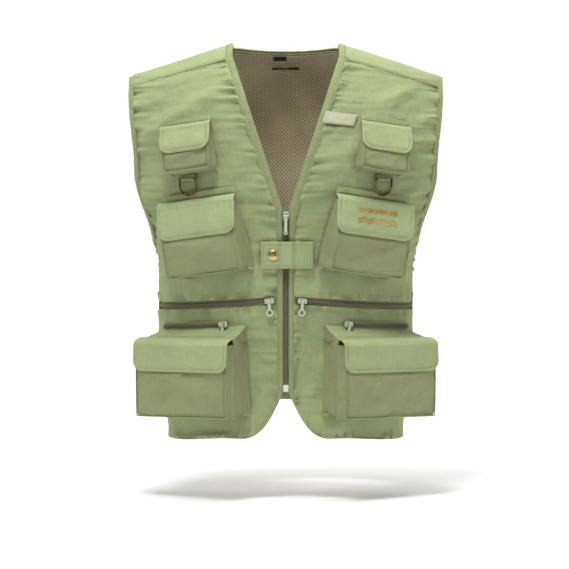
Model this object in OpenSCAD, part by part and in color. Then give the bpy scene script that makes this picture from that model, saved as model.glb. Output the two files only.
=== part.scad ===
// Sleeveless fishing vest: zip front, six flap pockets, four side zips, two D-rings, a snap tab.
// X points to the wearer's left, -Y to the front and Z up. "left" and "right" are the wearer's.
// Lengths are measured from the front hem in the modules; the whole vest is then moved so that
// the origin is the middle of the hanger loop inside the back neck.

/* [Body] */
// Width across the waist, side seam to side seam
waist_w = 406; // [330:1:490]
// Depth through the waist, front to back
waist_d = 256; // [210:1:310]
// Radius of the curve that turns from the front to the back at the side seams
side_r = 74; // [50:1:90]
// Width across the shoulder tips
shoulder_w = 500; // [420:1:600]
// Width of the neck opening at the neck points
neck_w = 168; // [135:1:205]
// Fall of the shoulder line, mm per mm outwards
shoulder_slope = 0.34; // [0.25:0.01:0.42]
// Thickness of the shell cloth with its turnings
cloth_t = 2.4; // [1.5:0.1:3]
// Thickness of the mesh lining
lining_t = 1.2; // [0.8:0.1:2]
// How much narrower the hem is than the waist, as a share of the width
hem_tuck = 0.075; // [0:0.005:0.12]

/* [Heights] */
// Height of the waist zips above the front hem, at the centre front
waist_z = 219; // [190:1:260]
// Rise from the waist zips to the hinge line of the middle pocket flaps
mid_rise = 158; // [140:1:190]
// Rise from the middle flaps to the chest flaps
chest_rise = 116; // [108:1:140]
// Rise from the chest flaps to the neck points
neck_rise = 128; // [108:1:155]
// Drop from the waist zips to the lower flaps
lower_drop = 61; // [52:1:75]
// Drop from the neck points to the bottom of the armholes
armhole_drop = 316; // [270:1:330]
// Drop from the neck points to the bottom of the V neck
v_drop = 262; // [220:1:290]
// How much higher the hem is at the back
back_hem_rise = 28; // [0:1:60]
// Height of the cut-away corners of the front hem
cut_h = 86; // [60:1:100]
// Width of each cut-away corner
cut_w = 78; // [50:1:95]

/* [Edges] */
// Width of the binding along the zip and the V neck
band_w = 9.5; // [7:0.5:14]
// Width of the armhole binding
arm_band_w = 9.5; // [7:0.5:14]
// Width of zip tape that shows between the two front edges
zip_gap = 9; // [8:0.5:12]
// Gap left between neighbouring cloth pieces
seam_gap = 0.5; // [0.3:0.1:1]

/* [Chest pockets] */
// Distance of the chest pockets from the centre front
chest_x = 155; // [140:1:170]
// Width of the chest flaps
chest_flap_w = 84; // [66:1:100]
// Height of the chest pouches below the hinge line
chest_h = 79; // [60:1:82]
// How far the chest pouches stand off
chest_depth = 18; // [10:1:26]

/* [Middle pockets] */
// Distance of the middle pockets from the centre front
mid_x = 138; // [125:1:150]
// Width of the middle flaps
mid_flap_w = 132; // [105:1:158]
// Height of the middle pouches below the hinge line
mid_h = 118; // [90:1:142]
// How far the middle pouches stand off
mid_depth = 28; // [18:1:36]

/* [Lower pockets] */
// Distance of the lower pockets from the centre front, measured on the body
lower_x = 138; // [128:1:150]
// Width of the lower flaps
lower_flap_w = 177; // [140:1:190]
// Height of the lower pouches below the hinge line
lower_h = 124; // [98:1:148]
// Thickness of the zipped compartment behind each lower pouch
compartment_d = 26; // [15:1:34]
// How far the lower pouches stand off the compartment
lower_depth = 26; // [16:1:34]

/* [Zips] */
// Width of a zip slider
slider_w = 9.4; // [8.4:0.1:11]
// Length of a zip slider
slider_len = 14; // [11:0.5:17]
// Length of the pull on the front zip
main_pull_len = 29; // [20:1:36]
// Length of the pulls on the waist zips
waist_pull_len = 24; // [20:1:30]
// Length of the pulls on the compartment zips
lower_pull_len = 17; // [12:1:19]
// Fall of the waist zips towards the side seams, degrees
waist_fall = 4.2; // [0:0.1:6]
// Height of the waist zip tape that shows
waist_tape_h = 14; // [12:0.5:18]
// Height of the compartment zip tape
lower_tape_h = 9; // [8:0.5:11]

/* [Fittings] */
// Inner width of the D-rings
ring_w = 25; // [20:1:32]
// Wire diameter of the D-rings
ring_wire = 3; // [2.4:0.1:4]
// Length of the snap tab
tab_len = 82; // [70:1:98]
// Height of the snap tab
tab_h = 42; // [34:1:50]
// Diameter of the snap cap
snap_d = 16; // [12:0.5:18]

/* [Hidden] */

sage = [0.65, 0.69, 0.52];
flap_sage = [0.68, 0.72, 0.55];
band_sage = [0.60, 0.64, 0.47];
tape_taupe = [0.42, 0.42, 0.34];
mesh_tan = [0.48, 0.45, 0.38];
painted_sage = [0.72, 0.77, 0.62];
old_brass = [0.55, 0.46, 0.30];

// ---- heights that follow from the driving sizes ----
mid_z = waist_z + mid_rise;
chest_z = mid_z + chest_rise;
neck_z = chest_z + neck_rise;
lower_z = waist_z - lower_drop;
arm_z = neck_z - armhole_drop;
v_z = neck_z - v_drop;
arch_z = neck_z - 201;            // here the chest starts to arch over to the shoulder
neck_edge_z = neck_z - 21;        // here the V turns into the upright neck edge
hem_tuck_h = 110;                 // the hem has its full tuck at 0 and none at this height

// ---- the section of the body: a front arc, a side arc and their mirror images ----
half_w = waist_w / 2;
half_d = waist_d / 2;
neck_half = neck_w / 2;
shoulder_half = shoulder_w / 2;
front_r = (half_w^2 - 2 * half_w * side_r + half_d^2) / (2 * (half_d - side_r));
turn = asin((half_w - side_r) / (front_r - side_r));
front_len = front_r * turn * PI / 180;
half_len = front_len + side_r * (90 - turn) * PI / 180;
axis_y = front_r - half_d;        // the front arc's centre lies this far behind the middle

function deg(rad) = rad * 180 / PI;
function rad(d) = d * PI / 180;
function clamp(t) = min(1, max(0, t));
function ease(a, b, z) = let(t = clamp((z - a) / (b - a))) t * t * (3 - 2 * t);
function mix(a, b, t) = a + (b - a) * t;
function unit(v) = v / norm(v);

// Distance s is measured round the section from the centre front.
function side_turn(a) = turn + deg((a - front_len) / side_r);
function sec_x(s) = let(a = abs(s), x = a < front_len ? front_r * sin(deg(a / front_r))
    : half_w - side_r + side_r * sin(side_turn(a))) s < 0 ? -x : x;
function sec_y(s) = let(a = abs(s)) a < front_len ? front_r * cos(deg(a / front_r)) - axis_y
    : side_r * cos(side_turn(a));
function sec_s(x) = front_r * rad(asin(x / front_r));

// The section widens from the waist to the chest and the shoulders, and tucks in at the hem.
top_widen = shoulder_half / sec_x(front_len);
function widen(z) = 1 - hem_tuck * (1 - ease(0, hem_tuck_h, z))
    + (top_widen - 1) * (0.86 * ease(arm_z - 35, arch_z, z) + 0.14 * ease(arch_z, arch_z + 120, z));

// Height of the shoulder line over a point x from the middle.
function hyp(x) = sqrt(x * x + 40 * 40);
function shoulder_line(x) = neck_z + shoulder_slope * (hyp(neck_half) - hyp(x));
function rise_r(s) = shoulder_line(top_widen * sec_x(s)) - arch_z;

// q runs up the cloth: it is the height up to arch_z, and above that the arch angle times its rise.
function arch_q(s, angle) = arch_z + rise_r(s) * rad(angle);
function skin_pt(s, q) = let(r = rise_r(s), a = q < arch_z ? 0 : deg((q - arch_z) / r),
    z = q < arch_z ? q : arch_z + r * sin(a))
    [widen(z) * sec_x(s), -sec_y(s) * cos(a), z];
function along_s(s, q) = unit(skin_pt(s + 0.5, q) - skin_pt(s - 0.5, q));
function along_q(s, q) = unit(skin_pt(s, q + 0.5) - skin_pt(s, q - 0.5));
function outward(s, q) = unit(cross(along_s(s, q), along_q(s, q)));
function skin(s, q, off) = skin_pt(s, q) + off * outward(s, q);

// ---- closed solids from two matching grids of points ----
module shell(outer, inner) {
    nr = len(outer);
    nc = len(outer[0]);
    n = nr * nc;
    points = concat([for (row = outer) each row], [for (row = inner) each row]);
    faces = concat(
        [for (j = [0:nr - 2], i = [0:nc - 2]) let(a = j * nc + i) each
            [[a, a + nc, a + nc + 1], [a, a + nc + 1, a + 1]]],
        [for (j = [0:nr - 2], i = [0:nc - 2]) let(a = n + j * nc + i) each
            [[a, a + nc + 1, a + nc], [a, a + 1, a + nc + 1]]],
        [for (i = [0:nc - 2]) let(b = (nr - 1) * nc) each
            [[i, i + 1, n + i + 1], [i, n + i + 1, n + i],
             [b + i + 1, b + i, n + b + i], [b + i + 1, n + b + i, n + b + i + 1]]],
        [for (j = [0:nr - 2]) let(a = j * nc, b = a + nc - 1) each
            [[a + nc, a, n + a], [a + nc, n + a, n + a + nc],
             [b, b + nc, n + b + nc], [b, n + b + nc, n + b]]]);
    polyhedron(points, faces, convexity = 8);
}

// A cloth patch: a grid of [s, q] places, between two distances from the skin.
module patch(grid, outer_off, inner_off)
    shell([for (row = grid) [for (g = row) skin(g[0], g[1], outer_off)]],
          [for (row = grid) [for (g = row) skin(g[0], g[1], inner_off)]]);

module hung() translate([0, -hang[1], -hang[2]]) children();
module on_right() mirror([1, 0, 0]) children();

// ---- outlines of the body panels ----
yoke_front = 62;                  // arch angle of the seam in front of the shoulder
yoke_back = 105;                  // arch angle of the seam behind the shoulder
neck_s = sec_s(neck_half / top_widen);

// Armhole edge, moved into the cloth by margin m.
function arm_s(q, m) = q <= arm_z - m ? half_len - seam_gap / 2
    : let(u = clamp((q - arm_z + m) / (arch_z - arm_z + m)))
      half_len - (half_len - front_len + m) * sqrt(1 - (1 - u)^2);

// Front edge: the zip, then the V neck.
function neck_rise_z(q) = let(r = neck_z - arch_z) q < arch_z ? q : arch_z + r * sin(deg((q - arch_z) / r));
function front_s(q) = let(z = neck_rise_z(q), t = clamp((z - v_z) / (neck_edge_z - v_z)))
    sec_s(mix(zip_gap / 2, neck_half, t) / (z < v_z ? 1 : widen(z)));

// Front hem with its cut-away corner.
function hem_q(s) = s > cut_w ? 0 : cut_h * (1 - s / cut_w)^2.4;
function waist_line(s) = waist_z - tan(waist_fall) * sec_x(s);

// Row places from the bottom edge over the armhole to the top edge, closer together round the armhole.
function row_q(lo, hi, low_rows, arm_rows, top_rows, m) = concat(
    [for (j = [0:low_rows - 1]) mix(lo, arm_z - m, j / low_rows)],
    [for (j = [0:arm_rows - 1]) mix(arm_z - m, arch_z, 1 - cos(90 * j / arm_rows))],
    [for (j = [0:top_rows]) mix(arch_z, hi, j / top_rows)]);

arm_margin = arm_band_w;
edge_in = band_w + 2 * seam_gap;
front_cols = 11;

module front_upper() {
    cols = [for (i = [0:front_cols]) i / front_cols];
    rows = [for (u = cols)
        let(s0 = mix(front_s(waist_z) + edge_in, half_len, u),
            s1 = mix(neck_s + edge_in, front_len - arm_margin, u))
        row_q(waist_line(s0) + waist_tape_h / 2, arch_q(s1, yoke_front), 3, 6, 5, arm_margin)];
    grid = [for (j = [0:len(rows[0]) - 1]) [for (i = [0:front_cols])
        let(q = rows[i][j]) [mix(front_s(q) + edge_in, arm_s(q, arm_margin), cols[i]), q]]];
    patch(grid, 0, -cloth_t);
}

module front_lower() {
    rows = 6;
    cols = 13;
    grid = [for (j = [0:rows]) [for (i = [0:cols])
        let(u = (i / cols)^1.3, s = mix(front_s(0) + edge_in, half_len - seam_gap / 2, u))
        [s, mix(hem_q(s), waist_line(s) - waist_tape_h / 2, j / rows)]]];
    patch(grid, 0, -cloth_t);
}

lining_off = -6.2;                // the lining clears the back plates of the waist sliders
module front_lining() {
    cols = 8;
    edge = 18;
    rows = [for (i = [0:cols]) let(s = mix(edge, half_len - 3, i / cols),
        s1 = mix(neck_s + edge_in, front_len - arm_margin, i / cols))
        row_q(hem_q(s) + 14, arch_q(s1, yoke_front) - 2, 4, 4, 4, arm_margin + 4)];
    grid = [for (j = [0:len(rows[0]) - 1]) [for (i = [0:cols])
        let(q = rows[i][j], from = max(edge, front_s(q) + edge_in),
            to = min(half_len - 3, arm_s(q, arm_margin + 4)))
        [mix(from, to, i / cols), q]]];
    patch(grid, lining_off, lining_off - lining_t);
}

module front_edge() {
    low = [for (k = [0:2]) front_s(0) + band_w * k / 2];
    cols = [0, 1, 2];
    top = arch_q(neck_s, yoke_back - 4);
    rows = [for (i = cols) concat(
        [for (j = [0:2]) mix(hem_q(low[i]), v_z - 6, j / 3)],
        [for (j = [0:2]) mix(v_z - 6, arch_z, j / 3)],
        [for (j = [0:9]) mix(arch_z, top, j / 9)])];
    grid = [for (j = [0:len(rows[0]) - 1]) [for (i = cols)
        let(q = rows[i][j]) [min(front_s(q), neck_s) + band_w * i / 2, q]]];
    patch(grid, 0.6, -cloth_t);
}

module yoke() {
    cols = 7;
    rows = 5;
    grid = [for (j = [0:rows]) [for (i = [0:cols])
        let(s = mix(neck_s + edge_in, front_len - arm_margin, i / cols))
        [s, arch_q(s, mix(yoke_front, yoke_back, j / rows)) + (j == 0 ? seam_gap : 0)]]];
    patch(grid, 0, -cloth_t);
}

// Back neck edge, as an arch angle measured from the back.
function neck_angle(s) = let(t = clamp(abs(s) / neck_s)) mix(60, 180 - yoke_back, t * t);
function back_top(s) = arch_q(s, neck_angle(s)) - seam_gap;

module back_body(cols, low_rows, arm_rows, top_rows, m, side_in, drop, off, t) {
    rows = [for (i = [0:cols]) row_q(back_hem_rise + drop,
        back_top(mix(-1, 1, i / cols) * (front_len - m)) - drop / 3, low_rows, arm_rows, top_rows, m)];
    grid = [for (j = [0:len(rows[0]) - 1]) [for (i = [0:cols])
        let(q = rows[i][j]) [mix(-1, 1, i / cols) * min(half_len - side_in, arm_s(q, m)), q]]];
    mirror([0, 1, 0]) patch(grid, off, off - t);
}

module neck_strip() {
    cols = 10;
    grid = [for (j = [0:1]) [for (i = [0:cols]) let(s = mix(-1, 1, i / cols) * neck_s)
        [s, back_top(s) + mix(-band_w, 0.4, j)]]];
    mirror([0, 1, 0]) patch(grid, 2, 0.4);
}

// ---- armhole binding: an oval rope round the edge ----
arm_band_t = 3.8;
function arm_loop() = concat(
    [for (e = [0:10:80]) [mix(half_len, front_len - arm_margin / 2, sin(e)),
        mix(arm_z - arm_margin / 2, arch_z, 1 - cos(e)), 1]],
    [for (a = [0:15:180]) let(s = front_len - arm_margin / 2) [s, arch_q(s, a), 1]],
    [for (e = [80:-10:10]) [mix(half_len, front_len - arm_margin / 2, sin(e)),
        mix(arm_z - arm_margin / 2, arch_z, 1 - cos(e)), -1]]);
function flip_y(p, side) = [p[0], p[1] * side, p[2]];

module armhole_rope() {
    path = arm_loop();
    n = len(path);
    sides = 8;
    mid = [for (p = path) flip_y(skin(p[0], p[1], -cloth_t / 2), p[2])];
    out = [for (p = path) flip_y(outward(p[0], p[1]), p[2])];
    rings = [for (i = [0:n - 1])
        let(run = unit(mid[(i + 1) % n] - mid[(i + n - 1) % n]), across = unit(cross(run, out[i])))
        [for (k = [0:sides - 1]) let(a = 360 * k / sides) mid[i]
            + across * cos(a) * (arm_band_w / 2 - seam_gap) + out[i] * sin(a) * arm_band_t / 2]];
    faces = [for (i = [0:n - 1], k = [0:sides - 1])
        let(a = i * sides + k, b = i * sides + (k + 1) % sides,
            c = ((i + 1) % n) * sides + k, d = ((i + 1) % n) * sides + (k + 1) % sides)
        each [[a, c, d], [a, d, b]]];
    polyhedron([for (ring = rings) each ring], faces, convexity = 8);
}

// ---- hanger loop and size label, inside the back neck ----
loop_s = 0;
loop_q = arch_q(0, 50);
loop_wide = 44;
loop_bulge = 12;
loop_strap = [1.4, 4];            // thickness and height of the loop's tape
loop_r = (loop_wide^2 / 4 + loop_bulge^2) / (2 * loop_bulge);
lining_in = lining_off - lining_t;
hang_back = flip_y(skin(0, loop_q, lining_in - 2.9), -1);
hang = [0, hang_back[1] - loop_bulge, hang_back[2]];

module loop_strip() {
    half = asin(loop_wide / 2 / loop_r);
    translate([0, hang[1] + loop_r - loop_strap[0] / 2, hang[2] - loop_strap[1] / 2])
        rotate_extrude(angle = 2 * half, start = -90 - half, $fn = 96)
        translate([loop_r - loop_strap[0], 0]) square(loop_strap);
}

module label_patch() {
    grid = [for (j = [0:2]) [for (i = [0:2]) [mix(-15, 1, i / 2), arch_q(0, 56) + mix(-1, 13, j / 2)]]];
    mirror([0, 1, 0]) patch(grid, lining_in - 1.7, lining_in - 2.5);
}

// ---- pockets: each has a flat frame that touches the skin at the middle of its hinge line ----
pocket_tilt = 8;
flap_t = 2.4;
flap_gap = 1.6;
pouch_t = 2;
skin_gap = 0.9;
pouch_in = 3;                     // the pouch is this much narrower than its flap on each side

// [s, hinge height, flap width, pouch height, stand-off, stand-off at the mouth, flap height, tilt, base]
chest_p = [sec_s(chest_x / widen(chest_z)), chest_z, chest_flap_w, chest_h, chest_depth, 9,
           48, pocket_tilt, 0];
mid_p = [sec_s(mid_x / widen(mid_z)), mid_z, mid_flap_w, mid_h, mid_depth, 12, 58, pocket_tilt, 0];
lower_out = lower_depth + compartment_d;
lower_p = [sec_s(lower_x), lower_z, lower_flap_w, lower_h, lower_out, lower_out - 3,
           52, 1, compartment_d];
function centre_s(p) = p[0];
function base(p) = p[8];
function frame_q(p) = p[1] < arch_z ? p[1]
    : let(r = rise_r(p[0])) arch_z + r * rad(asin((p[1] - arch_z) / r));

function frame_u(p) = let(q = frame_q(p), u = along_s(p[0], q), n = outward(p[0], q), v = cross(n, u))
    u * cos(p[7]) - v * sin(p[7]);
function frame_n(p) = outward(p[0], frame_q(p));
function frame_v(p) = cross(frame_n(p), frame_u(p));
function local(p, u, t, n) = skin_pt(p[0], frame_q(p)) + u * frame_u(p) - t * frame_v(p) + n * frame_n(p);

// The point of the skin behind a place u across and t below the middle of the hinge line.
function behind(p, u, t, off) = let(k = widen(p[1]), h = u * cos(p[7]) - t * sin(p[7]),
    v = -u * sin(p[7]) - t * cos(p[7]), r = k * front_r)
    skin(min(half_len - 2, p[0] + front_r * rad(asin(h / r))), frame_q(p) + v, off);

// How far the pouch's front stands off at a distance t below the hinge line.
function belly_way(p, t) = sin(90 * clamp((t - mouth_t) / (0.5 * p[3])));
function belly(p, t) = base(p) + mix(p[5] - base(p), p[4] - base(p), belly_way(p, t));
mouth_t = 9;
corner_r = 9;

// Across the pouch: [place, share of the stand-off], with round edges.
function across(w, d) = let(r = min(corner_r, d * 0.45)) concat([[-w / 2, 0]],
    [for (a = [0:30:90]) [-w / 2 + r * (1 - cos(a)), 1 - r / d * (1 - sin(a))]],
    [for (x = [-0.75:0.25:0.75]) [x * (w / 2 - r), 1]],
    [for (a = [90:-30:0]) [w / 2 - r * (1 - cos(a)), 1 - r / d * (1 - sin(a))]], [[w / 2, 0]]);
// Down the pouch: [place, share], open at the top and round at the bottom.
function down(h, d, top) = let(r = min(14, d * 0.6)) concat(
    [for (x = [0:0.25:0.99]) [mix(top, h - r, x), 1]],
    [for (a = [90:-22.5:0]) [h - r * (1 - cos(a)), 1 - r / d * (1 - sin(a))]], [[h, 0]]);

function pouch_pt(p, a, b, less) = let(k = a[1] * b[1],
    back = base(p) > 0 ? local(p, a[0], b[0], base(p) + skin_gap) : behind(p, a[0], b[0], skin_gap))
    mix(back, local(p, a[0], b[0], belly(p, b[0]) - less), k);

module pouch(p) {
    w = p[2] - 2 * pouch_in;
    d = p[4] - base(p);
    outer = [for (b = down(p[3], d, mouth_t)) [for (a = across(w, d)) pouch_pt(p, a, b, 0)]];
    inner = [for (b = down(p[3] - pouch_t, d, mouth_t))
        [for (a = across(w - 2 * pouch_t, d)) pouch_pt(p, a, b, pouch_t)]];
    shell([for (j = [len(outer) - 1:-1:0]) outer[j]], [for (j = [len(inner) - 1:-1:0]) inner[j]]);
}

// The zipped compartment behind a lower pouch: a closed shell on the skin.
compartment_p = [lower_p[0], lower_p[1], lower_flap_w - 3, lower_h - 4, compartment_d, compartment_d,
                 0, lower_p[7], 0];
compartment_top = 4;
function closed_down(h, d, top) = let(r = min(8, d * 0.4)) concat([[top, 0]],
    [for (a = [0:30:90]) [top + r * (1 - cos(a)), 1 - r / d * (1 - sin(a))]],
    [for (x = [0.25:0.25:0.8]) [mix(top + r, h - r, x), 1]],
    [for (a = [90:-30:0]) [h - r * (1 - cos(a)), 1 - r / d * (1 - sin(a))]], [[h, 0]]);
module compartment_body(p) {
    w = p[2] - 2 * pouch_in;
    d = p[4];
    outer = [for (b = closed_down(p[3], d, compartment_top)) [for (a = across(w, d)) pouch_pt(p, a, b, 0)]];
    inner = [for (b = closed_down(p[3] - pouch_t, d, compartment_top + pouch_t))
        [for (a = across(w - 2 * pouch_t, d)) pouch_pt(p, a, b, pouch_t)]];
    shell([for (j = [len(outer) - 1:-1:0]) outer[j]], [for (j = [len(inner) - 1:-1:0]) inner[j]]);
}

flap_turn = 11;                   // the flap turns over the mouth within this distance
flap_start = 1.4;
function flap_rows(p) = concat(
    [for (a = [0:22.5:67.5]) flap_turn * (1 - cos(a))],
    [for (x = [0:0.25:1]) mix(flap_turn, p[6], x)]);
function flap_n(p, t) = let(n0 = base(p) + flap_start, n1 = belly(p, max(t, flap_turn)) + flap_gap,
    a = t >= flap_turn ? 90 : acos(1 - t / flap_turn)) mix(n0, n1, sin(a));
// Half width of the flap, with round lower corners.
flap_corner = 17;
function flap_half(p, t) = let(low = t - (p[6] - flap_corner))
    p[2] / 2 - (low <= 0 ? 0 : flap_corner - sqrt(max(0, flap_corner^2 - low^2)) + 0.01);

module flap(p) {
    cols = 10;
    ts = flap_rows(p);
    function place(j, i, lift) = let(t = ts[j])
        local(p, mix(-1, 1, i / cols) * flap_half(p, t), t, flap_n(p, t) + lift);
    shell([for (j = [len(ts) - 1:-1:0]) [for (i = [0:cols]) place(j, i, flap_t)]],
          [for (j = [len(ts) - 1:-1:0]) [for (i = [0:cols]) place(j, i, 0)]]);
}

// Loop half of the hook-and-loop closure, on the pouch under the flap.
module loop_patch(p) {
    w = min(60, p[2] * 0.36);
    t0 = p[6] - 22;
    us = [-w / 2, 0, w / 2];
    ts = [t0 + 14, t0 + 7, t0];
    shell([for (t = ts) [for (u = us) local(p, u, t, belly(p, t) + 1)]],
          [for (t = ts) [for (u = us) local(p, u, t, belly(p, t) + 0.25)]]);
}

// ---- zips ----
slot = 2;                         // between the two rows of teeth, where the slider's post runs
post_w = 1.4;
tooth_w = 2.3;
tape_n = [-3.6, -2.9];            // the tape's two faces, from the skin
tooth_n = [-2.8, 0.5];
plate_t = 1.4;
front_plate = 1.2;                // the front plate's inner face, from the skin
back_plate = -3.95;
bar_n = front_plate + plate_t + 2.2;
bar_r = 0.9;
eye_r = 1.9;
eye_clear = 0.25;
lug_in = 2.4;
lug_t = 1.1;

// A slider along Z with its front towards -Y; bridge_turn 90 lays the pull's bar along the zip.
module slider(bridge_turn) {
    h = slider_len;
    w = slider_w;
    outline = [[-w * 0.36, 0], [w * 0.36, 0], [w / 2, h * 0.5], [w / 2, h * 0.86], [w * 0.34, h],
               [-w * 0.34, h], [-w / 2, h * 0.86], [-w / 2, h * 0.5]];
    translate([0, -front_plate, -h / 2]) rotate([90, 0, 0]) linear_extrude(plate_t) polygon(outline);
    translate([0, -back_plate + plate_t, -h / 2]) rotate([90, 0, 0])
        linear_extrude(plate_t) polygon(outline);
    translate([-post_w / 2, -front_plate - 0.2, h / 2 - 4])
        cube([post_w, front_plate - back_plate + 0.4, 3]);
    translate([0, -bar_n, 0]) rotate([0, bridge_turn, 0]) {
        rotate([0, 90, 0]) cylinder(h = 2 * (lug_in + lug_t) - 0.2, r = bar_r, center = true, $fn = 24);
        for (side = [-1, 1])
            translate([side * (lug_in + lug_t / 2) - lug_t / 2, -1.2, -1.6])
                cube([lug_t, bar_n - front_plate - plate_t + 1.2 + 0.2, 3.2]);
    }
}

// A pull that hangs down from the bar, with a ring at its end.
module pull(length, ring_d, hole_d) {
    w = min(2 * (lug_in - eye_clear), ring_d * 0.8);
    difference() {
        union() {
            rotate([0, 90, 0]) cylinder(h = w, r = eye_r, center = true, $fn = 32);
            translate([-w / 2, -0.8, -length + ring_d / 2]) cube([w, 1.6, length - ring_d / 2 - 0.5]);
            translate([0, 0.8, -length + ring_d / 2]) rotate([90, 0, 0])
                cylinder(h = 1.6, d = ring_d, $fn = 48);
        }
        rotate([0, 90, 0]) cylinder(h = w + 2, r = bar_r + eye_clear, center = true, $fn = 32);
        translate([0, 2, -length + ring_d / 2]) rotate([90, 0, 0]) cylinder(h = 4, d = hole_d, $fn = 48);
    }
}

zip_low = cut_h;
slider_z = v_z - 2 - slider_len / 2;
module main_tape()
    translate([slot / 2, -half_d - tape_n[1], zip_low])
        cube([14, tape_n[1] - tape_n[0], v_z - 3 - zip_low]);
module main_teeth()
    translate([slot / 2, -half_d - tooth_n[1], zip_low])
        cube([tooth_w, tooth_n[1] - tooth_n[0], v_z - 6 - zip_low]);
module at_main_zip() translate([0, -half_d, slider_z]) children();

// Zips that run round the front arc in a plane that falls to the side.
module zip_plane(z, fall) translate([0, axis_y, z]) rotate([0, fall, 0]) children();
module arc_strip(s0, s1, n0, n1, h0, h1)
    rotate_extrude(angle = deg((s1 - s0) / front_r), start = -90 + deg(s0 / front_r), $fn = 180)
    translate([front_r + n0, h0]) square([n1 - n0, h1 - h0]);
module side_strip(s1, n0, n1, h0, h1)
    translate([half_w - side_r, -axis_y, 0])
    rotate_extrude(angle = deg((s1 - front_len) / side_r), start = -90 + turn, $fn = 120)
    translate([side_r + n0, h0]) square([n1 - n0, h1 - h0]);
module at_arc(s) rotate([0, 0, deg(s / front_r)]) translate([0, -front_r, 0]) children();

waist_from = front_s(0) + band_w + 2;
waist_to = half_len - 4;
waist_slider_s = 26;
waist_slider_to = front_len - 8;  // the front arc carries the slider this far
module waist_tapes() zip_plane(waist_z, waist_fall)
    for (side = [-1, 1]) {
        h0 = side > 0 ? slot / 2 : -waist_tape_h / 2 + seam_gap;
        h1 = side > 0 ? waist_tape_h / 2 - seam_gap : -slot / 2;
        arc_strip(waist_from, front_len, tape_n[0], tape_n[1], h0, h1);
        side_strip(waist_to, tape_n[0], tape_n[1], h0, h1);
    }
module waist_coils() zip_plane(waist_z, waist_fall)
    for (side = [-1, 1]) {
        h0 = side > 0 ? slot / 2 : -slot / 2 - tooth_w;
        arc_strip(waist_from + 3, front_len, tooth_n[0], tooth_n[1], h0, h0 + tooth_w);
        side_strip(waist_to, tooth_n[0], tooth_n[1], h0, h0 + tooth_w);
    }

lower_zip_z = waist_z - waist_pull_len - eye_r - lower_tape_h / 2 - 1.5;  // just below the waist pulls
lower_zip_fall = waist_fall;
lower_zip_off = 6;                // the compartment zip stands this far off the front
lower_slider_s = sec_s(96);
lower_from = lower_slider_s - 9;
lower_to = front_len;
module lower_zip() zip_plane(lower_zip_z, lower_zip_fall)
    for (side = [-1, 1]) {
        h0 = side > 0 ? slot / 2 : -lower_tape_h / 2;
        h1 = side > 0 ? lower_tape_h / 2 : -slot / 2;
        c0 = side > 0 ? slot / 2 : -slot / 2 - tooth_w;
        arc_strip(lower_from, lower_to, tape_n[0] + lower_zip_off, tape_n[1] + lower_zip_off, h0, h1);
        arc_strip(lower_from + 3, lower_to, tooth_n[0] + lower_zip_off, tooth_n[1] + lower_zip_off,
                  c0, c0 + tooth_w);
    }
module side_slider() rotate([0, -90, 0]) slider(90);

// ---- D-rings, each in a sewn loop of webbing ----
ring_p = [sec_s(152 / widen(mid_z + 30)), mid_z + 30, 0, 0, 0, 0, 0, 0, 0];
ring_n = 3.4;
ring_drop = 11;
ring_loop = [22, 6.2, 9.5];
module in_frame(p, n) {
    u = frame_u(p);
    m = -frame_n(p);
    v = frame_v(p);
    o = local(p, 0, 0, n);
    multmatrix([[u[0], m[0], v[0], o[0]], [u[1], m[1], v[1], o[1]], [u[2], m[2], v[2], o[2]], [0, 0, 0, 1]])
        children();
}
module ring_loop_body() in_frame(ring_p, ring_n) difference() {
    translate([-ring_loop[0] / 2, -ring_loop[1] / 2 + 0.5, -ring_loop[2] / 2 + 1])
        cube(ring_loop - [0, 1, 0]);
    rotate([0, 90, 0]) cylinder(h = ring_loop[0] + 2, d = ring_wire + 0.5, center = true, $fn = 48);
}
module d_ring() in_frame(ring_p, ring_n) {
    half = (ring_w + ring_wire) / 2;
    rotate([0, 90, 0]) cylinder(h = 2 * half, d = ring_wire, center = true, $fn = 32);
    for (side = [-1, 1]) {
        translate([side * half, 0, 0]) sphere(d = ring_wire, $fn = 32);
        translate([side * half, 0, -ring_drop]) cylinder(h = ring_drop, d = ring_wire, $fn = 32);
    }
    translate([0, 0, -ring_drop]) rotate([90, 0, 0])
        rotate_extrude(angle = 180, start = 180, $fn = 64) translate([half, 0])
        circle(d = ring_wire, $fn = 32);
}

// ---- snap tab: sewn to the left front, it crosses the zip and snaps on the right front ----
tab_z = waist_z + 70;
tab_end = 43;                     // the sewn end, left of the middle
tab_t = 2.4;
tab_low = 3.6;                    // the tab's inner face off the skin away from the zip
tab_hump = 5;                     // how much further it stands off over the slider's path
snap_x = -19.5;
function body_y(x) = axis_y - sqrt(front_r^2 - x^2);
function tab_off(x) = tab_low + tab_hump * (ease(-11.3, -6.2, x) - ease(8, 17, x))
    - (tab_low - 1.4) * ease(26, 40, x);
module tab_body() {
    xs = [for (i = [0:28]) mix(tab_end - tab_len, tab_end, i / 28)];
    inner = [for (x = xs) [x, body_y(x) - tab_off(x)]];
    outer = [for (i = [28:-1:0]) let(x = xs[i]) [x, body_y(x) - tab_off(x) - tab_t]];
    difference() {
        translate([0, 0, tab_z - tab_h / 2]) linear_extrude(tab_h) polygon(concat(inner, outer));
        at_snap() translate([0, 1, 0]) rotate([90, 0, 0]) cylinder(h = 12, r = 2.6, $fn = 32);
    }
}
module at_snap() translate([0, axis_y, tab_z]) rotate([0, 0, asin(snap_x / front_r)])
    translate([0, -front_r, 0]) children();
snap_face = tab_low + tab_t + 0.35;
module snap_cap_body() at_snap() rotate([90, 0, 0]) rotate_extrude($fn = 64)
    polygon([[2.45, 1.95], [5.2, 1.95], [5.2, tab_low - 0.35], [2.45, tab_low - 0.35]]);
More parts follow.
